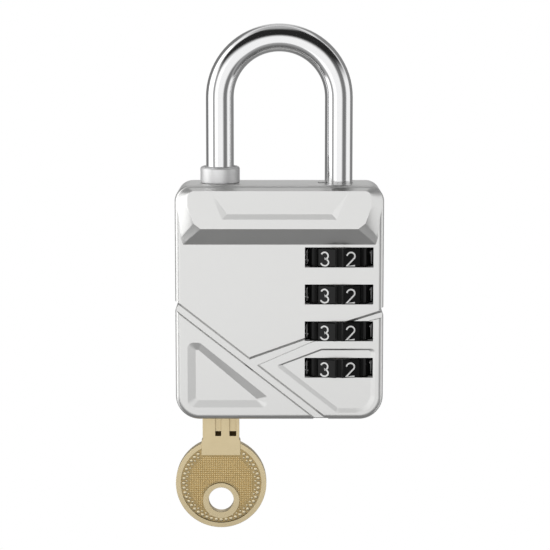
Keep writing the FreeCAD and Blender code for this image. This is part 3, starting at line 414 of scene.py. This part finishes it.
# %% [markdown]
# ## Case silver
# The case is cast metal under a satin silver coat. A flat metallic colour would look like
# plastic foil, so a fine grain breaks up the reflections, and a slow cloud makes the patches
# duller where hands rub the coat. A little of the shader is left non-metallic, as lacquer is.

# %% Case silver
FINISHES = {}


def case_silver():
    finish = Finish("case_silver")
    grain = finish.noise(0.14 * MM, 3)
    cloud = finish.noise(6 * MM, 2)
    return finish.surface(
        Base_Color=finish.blend(cloud, colour(0.775, 0.775, 0.765), colour(0.805, 0.805, 0.795)),
        Metallic=0.92,
        Roughness=0.28 + 0.06 * grain + 0.05 * cloud,
        Normal=finish.relief(grain, 0.006 * MM, 0.5))


FINISHES["silver_case"] = case_silver()
print("the case's silver is ready")

# %% [markdown]
# ## Chrome
# The shackle is a bent steel bar under chrome plate. Perfect mirror metal looks like glass
# in a render, so faint wipe marks along the legs and a slow cloud keep it real. There is no
# relief, because plate of this kind is buffed.

# %% Chrome
def chrome():
    finish = Finish("chrome")
    wipe = finish.noise(0.5 * MM, 3, (1, 1, 0.1))
    cloud = finish.noise(5 * MM)
    return finish.surface(
        Base_Color=finish.blend(cloud, colour(0.86, 0.86, 0.87), colour(0.90, 0.90, 0.90)),
        Metallic=1.0,
        Roughness=0.09 + 0.04 * wipe)


FINISHES["polished_steel"] = chrome()
print("the shackle's chrome is ready")

# %% [markdown]
# ## Turned steel
# The collar round the left leg is turned on a lathe, so its marks run round it. Noise
# that is stretched sideways and fine along the axis gives such rings, and it drives the
# colour, the gloss and the relief together, as one cut of the tool does.

# %% Turned steel
def turned_steel():
    finish = Finish("turned_steel")
    lines = finish.noise(0.25 * MM, 4, (0.02, 0.02, 1))
    return finish.surface(
        Base_Color=finish.blend(lines, colour(0.80, 0.80, 0.80), colour(0.92, 0.92, 0.92)),
        Metallic=0.7,
        Roughness=0.42 + 0.1 * lines,
        Normal=finish.relief(lines, 0.006 * MM, 0.5))


FINISHES["brushed_steel"] = turned_steel()
print("the collar's steel is ready")

# %% [markdown]
# ## Plain steel
# The pins, the sleeve, the springs and the other inner parts are bare steel. Hardly any of
# them shows through the openings of the case, but they get a real finish too, for whoever
# takes the lock apart: a grain for the machining and a slow stain for the oil on it.

# %% Plain steel
def plain_steel():
    finish = Finish("plain_steel")
    grain = finish.noise(0.4 * MM, 3)
    stain = finish.noise(4 * MM)
    return finish.surface(
        Base_Color=finish.blend(stain, colour(0.42, 0.42, 0.43), colour(0.55, 0.55, 0.55)),
        Metallic=1.0,
        Roughness=0.3 + 0.15 * grain,
        Normal=finish.relief(grain, 0.01 * MM, 0.4))


FINISHES["plain_steel"] = plain_steel()
print("the inner parts' steel is ready")

# %% [markdown]
# ## Cylinder brass
# The key's cylinder is plain machined brass, deeper in colour than the key. Brass stains
# in patches, so a slow noise moves its colour while a fine one roughens it.

# %% Cylinder brass
def cylinder_brass():
    finish = Finish("cylinder_brass")
    stain = finish.noise(3 * MM, 3)
    grain = finish.noise(0.3 * MM, 3)
    return finish.surface(
        Base_Color=finish.blend(stain, colour(0.62, 0.44, 0.17), colour(0.72, 0.55, 0.26)),
        Metallic=1.0,
        Roughness=0.28 + 0.14 * grain,
        Normal=finish.relief(grain, 0.01 * MM, 0.4))


FINISHES["cylinder_brass"] = cylinder_brass()
print("the cylinder's brass is ready")

# %% [markdown]
# ## Key brass
# The key is a paler brass than the cylinder, struck and then tumbled. Its raised figures are
# rubbed bright and its low places hold tarnish. The faces that look up inside its sunk parts,
# such as the ends of the slots, are near black: that is painted shade. A mask could follow the
# relief, but the figures are pieces of their own here, so each level simply has its own pair of
# tones in the same recipe.

# %% Key brass
def key_brass(name, low, high):
    """Satin brass between two tones; the near-black pair is painted shade."""
    finish = Finish(name)
    stain = finish.noise(2.5 * MM, 3)
    grain = finish.noise(0.12 * MM, 2)
    return finish.surface(
        Base_Color=finish.blend(stain, low, high),
        Metallic=0.85,
        Roughness=0.32 + 0.1 * grain,
        Normal=finish.relief(grain, 0.003 * MM, 0.4))


KEY_TONES = {
    "key_brass": (colour(0.74, 0.61, 0.37), colour(0.81, 0.68, 0.43)),
    "key_field_brass": (colour(0.47, 0.34, 0.15), colour(0.56, 0.42, 0.20)),
    # The near-black pair is painted shade for the faces that look up inside the sunk parts.
    "key_slot_painted_shade": (colour(0.07, 0.05, 0.025), colour(0.10, 0.075, 0.035)),
    "key_bead_brass": (colour(0.84, 0.72, 0.47), colour(0.92, 0.80, 0.55)),
    "key_check_brass": (colour(0.80, 0.64, 0.35), colour(0.87, 0.71, 0.41)),
}
for name, (low, high) in KEY_TONES.items():
    FINISHES[name] = key_brass(name, low, high)
print(len(KEY_TONES), "tones of key brass")

# %% [markdown]
# ## Dial black
# The dials are moulded in black plastic. Their flats are polished by fingers and the
# valleys between them stay dull, so the clear coat follows the distance from the dial's
# axis. A little grain in the gloss keeps the flats from looking like glass.

# %% Dial black
POLISH_START = 8.35 * MM
POLISH_END = 8.58 * MM
MOST_POLISH = 0.3


def dial_centre(name):
    """Where a dial's axis stands across the lock, and how high the dial's middle is."""
    low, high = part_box(name)
    return (low.x + high.x) / 2, (low.z + high.z) / 2


DIAL_AXIS = dial_centre("dial_1")[0]


def dial_black():
    """Black plastic, polished on the flats and dull in the valleys between them."""
    finish = Finish("dial_black")
    grain = finish.noise(0.2 * MM, 3)
    place = finish.node("TexCoord", output="Object")
    from_axis = finish.node("VectorMath", {"operation": "SUBTRACT"}, {0: place, 1: (DIAL_AXIS, 0, 0)})
    level_part = finish.node("VectorMath", {"operation": "MULTIPLY"}, {0: from_axis, 1: (1, 1, 0)})
    radius = finish.node("VectorMath", {"operation": "LENGTH"}, {0: level_part}, output="Value")
    polish = finish.node("MapRange", {}, {
        "Value": radius,
        "From Min": POLISH_START,
        "From Max": POLISH_END,
        "To Min": 0,
        "To Max": MOST_POLISH,
    })
    return finish.surface(
        Base_Color=finish.blend(grain, colour(0.003, 0.003, 0.003), colour(0.006, 0.006, 0.006)),
        Roughness=0.3 + 0.12 * grain,
        Specular_IOR_Level=0.12,
        Coat_Weight=polish,
        Coat_Roughness=0.16,
        Normal=finish.relief(grain, 0.004 * MM, 0.5))


FINISHES["dial_black"] = dial_black()
print("the dials turn about x =", round(DIAL_AXIS / MM, 2), "mm")

# %% [markdown]
# ## Number paint
# The numbers are thin white paint. Paint this thin is never quite even, which a noise in
# its colour and its gloss gives, and it is far duller than the plastic.

# %% Number paint
def number_white():
    finish = Finish("number_white")
    wear = finish.noise(0.5 * MM, 3)
    return finish.surface(
        Base_Color=finish.blend(wear, colour(0.78, 0.78, 0.77), colour(0.88, 0.88, 0.87)),
        Roughness=0.55 + 0.1 * wear)


FINISHES["number_white"] = number_white()
print(len(FINISHES), "finishes in all")

# %% [markdown]
# ## Finishes on the parts
# Every part in the frame names a slot, and the slot names its finish. So one loop dresses
# all of them, the hidden ones too.

# %% Finishes on all parts
parts = frame["record"]["subparts"]
slot_of = {part["node"]: part["material_slot"] for part in parts}
body_of = {}
for body, members in frame["record"]["behaviour"]["bodies"].items():
    for member in members:
        body_of[member] = body

for node, slot in slot_of.items():
    mesh = nodes[node].data
    mesh.materials.clear()
    mesh.materials.append(FINISHES[slot])
print(len(slot_of), "parts have a finish")

# %% [markdown]
# ## Making a piece
# A shape in mesh code becomes a piece of the lock in the same few steps each time: a mesh, a
# finish, the body that it rides on, and the part that it takes the place of, which is hidden.
# Riding on a body makes it a child of an empty named after that body.

# %% Pieces in mesh code
def add_piece(name, bm, body, finish, slot, *replaced):
    """Makes a mesh object from bm and lets it ride on a body."""
    mesh = bpy.data.meshes.new(name)
    bm.normal_update()
    bm.to_mesh(mesh)
    bm.free()
    mesh.materials.append(FINISHES[finish])
    thing = bpy.data.objects.new(name, mesh)
    bpy.context.scene.collection.objects.link(thing)
    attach(thing, body)
    if replaced:
        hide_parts(*replaced)
    return thing


CREASE = 40


def smooth(thing, crease=CREASE):
    """Smooth shading that leaves the wide faces flat and the angles over crease sharp."""
    thing.data.shade_smooth()
    thing.data.set_sharp_from_angle(angle=math.radians(crease))
    weights = thing.modifiers.new("flat faces", "WEIGHTED_NORMAL")
    weights.keep_sharp = True


print("creases over", CREASE, "degrees stay sharp")

# %% [markdown]
# ## Softened edges
# A real edge is never perfectly sharp, and it is the tiny round on it that catches the
# light. A bevel modifier would round the edges of every triangle too, since a part comes as
# loose triangulated faces. So a copy is sewn together, its flat faces are made whole, and
# only the borders between the part's own faces are bevelled, where they meet at an angle.

# %% Clean copies and bevels
SEWN = 0.0005 * MM
FLAT = math.radians(0.3)
LEAST_CORNER = math.radians(12)


def clean_copy(node):
    """A part's mesh in one skin, its face borders kept as seams and its flat faces whole."""
    bm = bmesh.new()
    bm.from_mesh(nodes[node].data)
    for edge in bm.edges:
        edge.seam = edge.is_boundary
    bmesh.ops.remove_doubles(bm, verts=bm.verts, dist=SEWN)
    bmesh.ops.dissolve_limit(bm, angle_limit=FLAT, verts=bm.verts, edges=bm.edges)
    return bm


def corners(bm):
    """Edges where two faces of the part meet at a real corner, not inside a curve."""
    borders = [edge for edge in bm.edges if edge.seam and len(edge.link_faces) == 2]
    return [edge for edge in borders if edge.calc_face_angle() > LEAST_CORNER]


def soften(bm, width, edges, segments=2):
    """Bevels the given edges."""
    bmesh.ops.bevel(bm, geom=edges, offset=width, offset_type="OFFSET", affect="EDGES",
                    segments=segments, profile=0.5, clamp_overlap=True)


def dressed(node, width):
    """A bevelled copy of a part that takes the part's place."""
    bm = clean_copy(node)
    soften(bm, width, corners(bm))
    slot = slot_of[node]
    piece = add_piece(f"{node}_dressed", bm, body_of[node], slot, slot, node)
    smooth(piece)
    print(node, "has", len(piece.data.polygons), "faces")
    return piece


print("corners start at", round(math.degrees(LEAST_CORNER)), "degrees")

# %% [markdown]
# ## The front cover
# The cover is cast, so its brow has round corners and a soft rim, while the grooves are
# crisp. One bevel width for all of it would blur the thin walls of the grooves, so the
# edges are sorted first: the brow's lower corners, its rim, the walls that look down and
# carry the dark lines, and the rest.

# %% Sorting the cover's edges
NEAR = 0.01 * MM
BROW_DEPTH = 1.4 * MM
BROW_SHOULDER = 6 * MM
FOOT_ROUND = 1.2 * MM
BROW_REACH = 14 * MM
LOOKS_DOWN = -0.3
cover_low, cover_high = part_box("front_cover")
BROW_LEVEL = cover_low.y


def is_brow_corner(edge):
    """An edge that runs from the brow's face down to the cover, at its lower corners."""
    front, back = sorted((vert.co for vert in edge.verts), key=lambda place: place.y)
    leaves_face = abs(front.y - BROW_LEVEL) < NEAR and back.y - front.y > BROW_DEPTH
    return edge.seam and leaves_face and front.z < cover_high.z - BROW_SHOULDER


def is_brow_rim(edge):
    """An edge round the brow's face."""
    return edge.seam and all(abs(vert.co.y - BROW_LEVEL) < NEAR for vert in edge.verts)


def is_under_wall(edge):
    """An edge of a wall that looks down, on the flat of the cover below the brow."""
    middle = (edge.verts[0].co + edge.verts[1].co) / 2
    on_flat = cover_low.z + FOOT_ROUND < middle.z < cover_high.z - BROW_REACH
    return on_flat and any(
        face.normal.z < LOOKS_DOWN and face.normal.y < LOOKS_DOWN for face in edge.link_faces)


print("the brow's face is at y =", round(BROW_LEVEL / MM, 2), "mm")

# %% [markdown]
# ## The right panel's upper wall
# The panel round the lowest window is sunk by about a quarter of a millimetre. Seen from
# the front, its upper wall is a dark line. The wall of the solid is so steep that the line
# almost vanishes, so the wall's foot is moved down a little, which makes it shallower. The
# window's own corners lie on the same floor and stay where they are, clear of the dial.

# %% Upper wall of the panel
PANEL_FLOOR = -7.33 * MM
PANEL_TIP = -67.1 * MM
PANEL_TOP = -63 * MM
WINDOW_TOP = -65.62 * MM
WALL_SHIFT = 0.2 * MM


def is_panel_wall_foot(place):
    """A point at the foot of the right panel's upper wall, and not at the window's corners."""
    on_floor = abs(place.y - PANEL_FLOOR) < NEAR
    in_reach = place.x > 0 and PANEL_TIP < place.z < PANEL_TOP
    return on_floor and in_reach and abs(place.z - WINDOW_TOP) > NEAR


cover = clean_copy("front_cover")
wall_foot = [vert for vert in cover.verts if is_panel_wall_foot(vert.co)]
for vert in wall_foot:
    vert.co.z -= WALL_SHIFT
print(len(wall_foot), "points at the foot of the panel's upper wall")

# %% [markdown]
# ## The cover's bevels
# The widest bevel goes first, while its edges still end in simple corners. The thinnest
# goes last: a round on a wall that looks down would catch light and break its dark line.

# %% Front cover
BROW_CORNER_ROUND = 0.75 * MM
BROW_RIM_ROUND = 0.18 * MM
COVER_ROUND = 0.12 * MM
UNDER_WALL_ROUND = 0.03 * MM

soften(cover, BROW_CORNER_ROUND, [edge for edge in cover.edges if is_brow_corner(edge)], 6)
rims = [edge for edge in corners(cover) if is_brow_rim(edge)]
soften(cover, BROW_RIM_ROUND, rims, 3)
soften(cover, COVER_ROUND, [edge for edge in corners(cover) if not is_under_wall(edge)])
soften(cover, UNDER_WALL_ROUND, [edge for edge in corners(cover) if is_under_wall(edge)])
print(len(rims), "rim edges,", len(cover.faces), "faces in the front cover")
smooth(add_piece("front_cover_dressed", cover, body_of["front_cover"], "silver_case", "silver_case",
                 "front_cover"))

# %% [markdown]
# ## Rear case, collar and dials
# These have the same kind of edge all over, so one width each is enough: a cast edge on the
# case, a broken edge on the turned collar, and a crisp moulded one on the dials.

# %% Rear case, collar and dials
CASE_ROUND = 0.1 * MM
COLLAR_ROUND = 0.15 * MM
DIAL_ROUND = 0.06 * MM
DIALS = [f"dial_{number}" for number in range(1, 5)]

dressed("rear_case", CASE_ROUND)
dressed("toe_collar", COLLAR_ROUND)
for dial in DIALS:
    dressed(dial, DIAL_ROUND)

# %% [markdown]
# ## The key's bow
# The bow of the key is struck: a rim, a ring round the hole, beads inside the rim and a
# field of tiny checks. A bump texture could draw them, but it would go flat at the edge of a
# view, so they are real relief on both faces. This cell measures the key and says where the
# field of checks lies, between the beads, the ring and the neck.

# %% Key measures
key_low, key_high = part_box("key")
KEY_MIDDLE = (key_low.x + key_high.x) / 2
BOW_RADIUS = (key_high.x - key_low.x) / 2
BOW_LEVEL = key_low.z + BOW_RADIUS
NECK_FOOT = 6.35 * MM
NECK_HALF = 4.3 * MM
RING_DROP = 3.95 * MM
RING_RADIUS = 4.03 * MM
FIELD_FLOOR = 0.8 * MM
FIELD_RADIUS = 7.3 * MM


def on_field(x, z, room):
    """Whether a point of the bow lies on the check field, with room to its borders."""
    inside = math.hypot(x, z) < FIELD_RADIUS - room
    off_ring = math.hypot(x, z + RING_DROP) > RING_RADIUS + room
    off_neck = abs(x) > NECK_HALF + room or z < NECK_FOOT - room
    return inside and off_ring and off_neck


print("the key's bow is", round(2 * BOW_RADIUS / MM, 2), "mm across")

# %% [markdown]
# ## Studs
# Checks and beads are the same form in two fashions: rings of points, one above the other,
# closed by a flat top. A check has four sides and reads as a small cut pyramid, a bead has
# ten and a rounder profile. Both start a little below the bow's floor, so that no gap shows.

# %% Studs
def stud(bm, x, z, side, rings, sides, turn):
    """A small raised form on the bow: rings of (radius, height) with a flat top."""
    loops = []
    for radius, height in rings:
        loop = []
        for step in range(sides):
            angle = turn + 2 * math.pi * step / sides
            loop.append(bm.verts.new((
                KEY_MIDDLE + x + radius * math.cos(angle),
                -side * (FIELD_FLOOR + height),
                BOW_LEVEL + z + radius * math.sin(angle))))
        loops.append(loop)
    for low, high in zip(loops, loops[1:]):
        for step in range(sides):
            after = (step + 1) % sides
            bm.faces.new((low[step], low[after], high[after], high[step]))
    bm.faces.new(loops[-1])
    bm.faces.new(list(reversed(loops[0])))


FACES_OF_KEY = (1, -1)
print("studs stand on", len(FACES_OF_KEY), "faces of the key")

# %% [markdown]
# ## The checks
# The field is a square grid, as a knurling die leaves it. Each check is placed only where
# it fits whole, because half checks at the border would look torn.

# %% Checks
CHECK_PITCH = 0.48 * MM
CHECK_CORNER = CHECK_PITCH / math.sqrt(2)
CHECK_ROOM = 0.2 * MM
CHECK_FOOT = 0.86 * CHECK_CORNER
CHECK_TOP = 0.45 * CHECK_CORNER
CHECK_RINGS = ((CHECK_FOOT, -0.02 * MM), (CHECK_FOOT, 0.01 * MM), (CHECK_TOP, 0.13 * MM))

checks = bmesh.new()
reach = int(FIELD_RADIUS / CHECK_PITCH) + 1
for side in FACES_OF_KEY:
    for column in range(-reach, reach + 1):
        for row in range(-reach, reach + 1):
            x = column * CHECK_PITCH
            z = row * CHECK_PITCH
            if on_field(x, z, CHECK_ROOM):
                stud(checks, x, z, side, CHECK_RINGS, 4, math.pi / 4)
bmesh.ops.recalc_face_normals(checks, faces=checks.faces)
print(len(checks.faces), "faces in the checks")
add_piece("key_checks", checks, "key", "key_check_brass", "key_brass")

# %% [markdown]
# ## The beads
# Two rows of beads run round inside the rim, the small ones in the gaps of the large ones.
# They stop at the neck, which covers that part of the bow.

# %% Beads
BEAD_COUNT = 48
BEAD_HEIGHT = 0.22 * MM
BEAD_ROOM = 0.3 * MM
BEAD_SIDES = 10
BEAD_CREASE = 60
BEAD_PROFILE = ((1.0, -0.1), (1.0, 0.3), (0.85, 0.75), (0.6, 1.0))
# Radius of the row, radius of a bead, and how far the row is turned, in steps.
BEAD_ROWS = ((8.28 * MM, 0.45 * MM, 0), (7.62 * MM, 0.3 * MM, 0.5))

beads = bmesh.new()
for side in FACES_OF_KEY:
    for row_radius, bead_radius, offset in BEAD_ROWS:
        rings = [(bead_radius * wide, BEAD_HEIGHT * tall) for wide, tall in BEAD_PROFILE]
        for step in range(BEAD_COUNT):
            angle = 2 * math.pi * (step + offset) / BEAD_COUNT
            x = row_radius * math.sin(angle)
            z = row_radius * math.cos(angle)
            if abs(x) > NECK_HALF + BEAD_ROOM or z < 0:
                stud(beads, x, z, side, rings, BEAD_SIDES, 0)
bmesh.ops.recalc_face_normals(beads, faces=beads.faces)
print(len(beads.faces), "faces in the beads")
smooth(add_piece("key_beads", beads, "key", "key_bead_brass", "key_brass"), BEAD_CREASE)

# %% [markdown]
# ## The key blank
# The blank is the solid key with broken edges. The floor of the check field and the faces that
# look up inside the sunk parts are whole faces, so they take a material of their own, which is
# simpler than a mask. The second of these is near black, a painted shade.

# %% Key blank
KEY_ROUND = 0.1 * MM
FIELD_ROOM = 0.02 * MM
FACES_OUT = 0.99
LOOKS_UP = 0.3
LEDGE_START = 0.5 * MM
LEDGE_END = key_high.y - 0.1 * MM
FIELD_SLOT = 1
SHADED_LEDGE_SLOT = 2

key = dressed("key", KEY_ROUND)
key.data.materials.append(FINISHES["key_field_brass"])
key.data.materials.append(FINISHES["key_slot_painted_shade"])
for polygon in key.data.polygons:
    level = abs(polygon.center.y)
    if abs(level - FIELD_FLOOR) < FIELD_ROOM and abs(polygon.normal.y) > FACES_OUT:
        polygon.material_index = FIELD_SLOT
    # Faces that look up inside the sunk parts get the near-black brass: painted shade.
    elif polygon.normal.z > LOOKS_UP and LEDGE_START < level < LEDGE_END:
        polygon.material_index = SHADED_LEDGE_SLOT
found = [polygon.material_index for polygon in key.data.polygons]
print(found.count(FIELD_SLOT), "faces of field floor and", found.count(SHADED_LEDGE_SLOT), "of ledges")

# %% [markdown]
# ## Number paths
# Each number is drawn as a pen would draw it, along straight runs and arcs in a box one
# unit tall. A font would bring its own outlines and faces, and a pen line keeps the even
# stroke of numbers that are printed on a dial.

# %% Number paths
def arc(centre, size, start, end, steps):
    """Points on an ellipse from one angle to another, in degrees, anticlockwise if end > start."""
    points = []
    for step in range(steps + 1):
        angle = math.radians(start + (end - start) * step / steps)
        points.append((centre[0] + size[0] * math.cos(angle), centre[1] + size[1] * math.sin(angle)))
    return points


NUMBER_PATHS = {
    "0": [arc((0, 0.5), (0.27, 0.45), 90, 450, 32)],
    "1": [[(-0.07, 0.78), (0.12, 0.95), (0.12, 0.05)]],
    "2": [arc((0.02, 0.69), (0.28, 0.26), 170, -28, 20) + [(-0.27, 0.05), (0.31, 0.05)]],
    "3": [arc((-0.08, 0.72), (0.235, 0.23), 160, -85, 20)
          + arc((-0.08, 0.28), (0.265, 0.23), 88, -165, 20)],
    "4": [[(0.12, 0.05), (0.12, 0.95), (-0.28, 0.3), (0.28, 0.3)]],
    "5": [[(0.23, 0.95), (-0.17, 0.95), (-0.24, 0.5)]
          + arc((-0.01, 0.34), (0.27, 0.29), 140, -155, 24)],
    "6": [arc((0.02, 0.5), (0.27, 0.45), 48, 180, 14)
          + arc((0.0, 0.33), (0.26, 0.28), 180, 540, 28)],
    "7": [[(-0.26, 0.95), (0.27, 0.95), (-0.08, 0.05)]],
    "8": [arc((0, 0.73), (0.22, 0.22), 270, 630, 26), arc((0, 0.28), (0.27, 0.23), 90, 450, 28)],
    "9": [arc((-0.02, 0.5), (0.27, 0.45), 228, 360, 14)
          + arc((0.0, 0.67), (0.26, 0.28), 0, 360, 28)],
}
print(len(NUMBER_PATHS), "number paths")

# %% [markdown]
# ## Ribbons
# The pen line needs a width. At every point of the path a pair of points is set to its
# left and right, and neighbouring pairs are joined by a face. At a bend the pair is set
# wider, so that the stroke keeps its width, but only up to a limit, or a sharp bend would
# grow a spike.

# %% Ribbons
LEAST_BEND = 0.5


def ribbon(bm, points, width, lift):
    """A flat strip along points of a plane, each turned into space by lift(across, up)."""
    sides = []
    for index, point in enumerate(points):
        before = Vector(points[max(index - 1, 0)])
        after = Vector(points[min(index + 1, len(points) - 1)])
        along = (after - before).normalized()
        here = Vector(point)
        first = (here - before).normalized() if index else along
        bend = max(along.dot(first), LEAST_BEND)
        aside = Vector((-along.y, along.x)) * (width / 2 / bend)
        sides.append((bm.verts.new(lift(*(here + aside))), bm.verts.new(lift(*(here - aside)))))
    for (left, right), (next_left, next_right) in zip(sides, sides[1:]):
        bm.faces.new((left, right, next_right, next_left))


print("a stroke widens by up to", round(1 / LEAST_BEND), "times at a bend")

# %% [markdown]
# ## Numbers on the dials
# Each dial carries the numbers 0 to 9, one on each of its ten flats. They are thin faces just
# off the plastic, which stay sharp from near by, where a painted texture would blur. A dial
# stops with a valley at the front, so the window shows two numbers side by side.

# %% Numbers on the dials
NUMBERS = 10
FLAT_TURN = 360 / NUMBERS
FLAT_APOTHEM = 8.6 * MM
RIGHT_NUMBER = 2
STROKE = 0.33 * MM
NUMBER_HEIGHT = 3.24 * MM
NUMBER_SHIFT = -0.24 * MM
NUMBER_DROP = 0.28 * MM
PAINT = 0.012 * MM


def number_dial(dial):
    """The ten numbers of one dial as one painted piece."""
    across, level = dial_centre(dial)
    bm = bmesh.new()
    for step in range(NUMBERS):
        turn = math.radians(FLAT_TURN * (step + 0.5))
        outward = Vector((math.sin(turn), -math.cos(turn), 0))
        aside = Vector((math.cos(turn), math.sin(turn), 0))
        middle = Vector((across, 0, level - NUMBER_DROP)) + outward * (FLAT_APOTHEM + PAINT)
        middle += aside * NUMBER_SHIFT

        def lift(x, y):
            return middle + aside * x + Vector((0, 0, 1)) * (y - NUMBER_HEIGHT / 2)

        for points in NUMBER_PATHS[str((RIGHT_NUMBER - step) % NUMBERS)]:
            scaled = [(x * NUMBER_HEIGHT, y * NUMBER_HEIGHT) for x, y in points]
            ribbon(bm, scaled, STROKE, lift)
    return add_piece(f"{dial}_numbers", bm, body_of[dial], "number_white", "dial_black")


painted = [number_dial(dial) for dial in DIALS]
print("numbers on", len(painted), "dials")
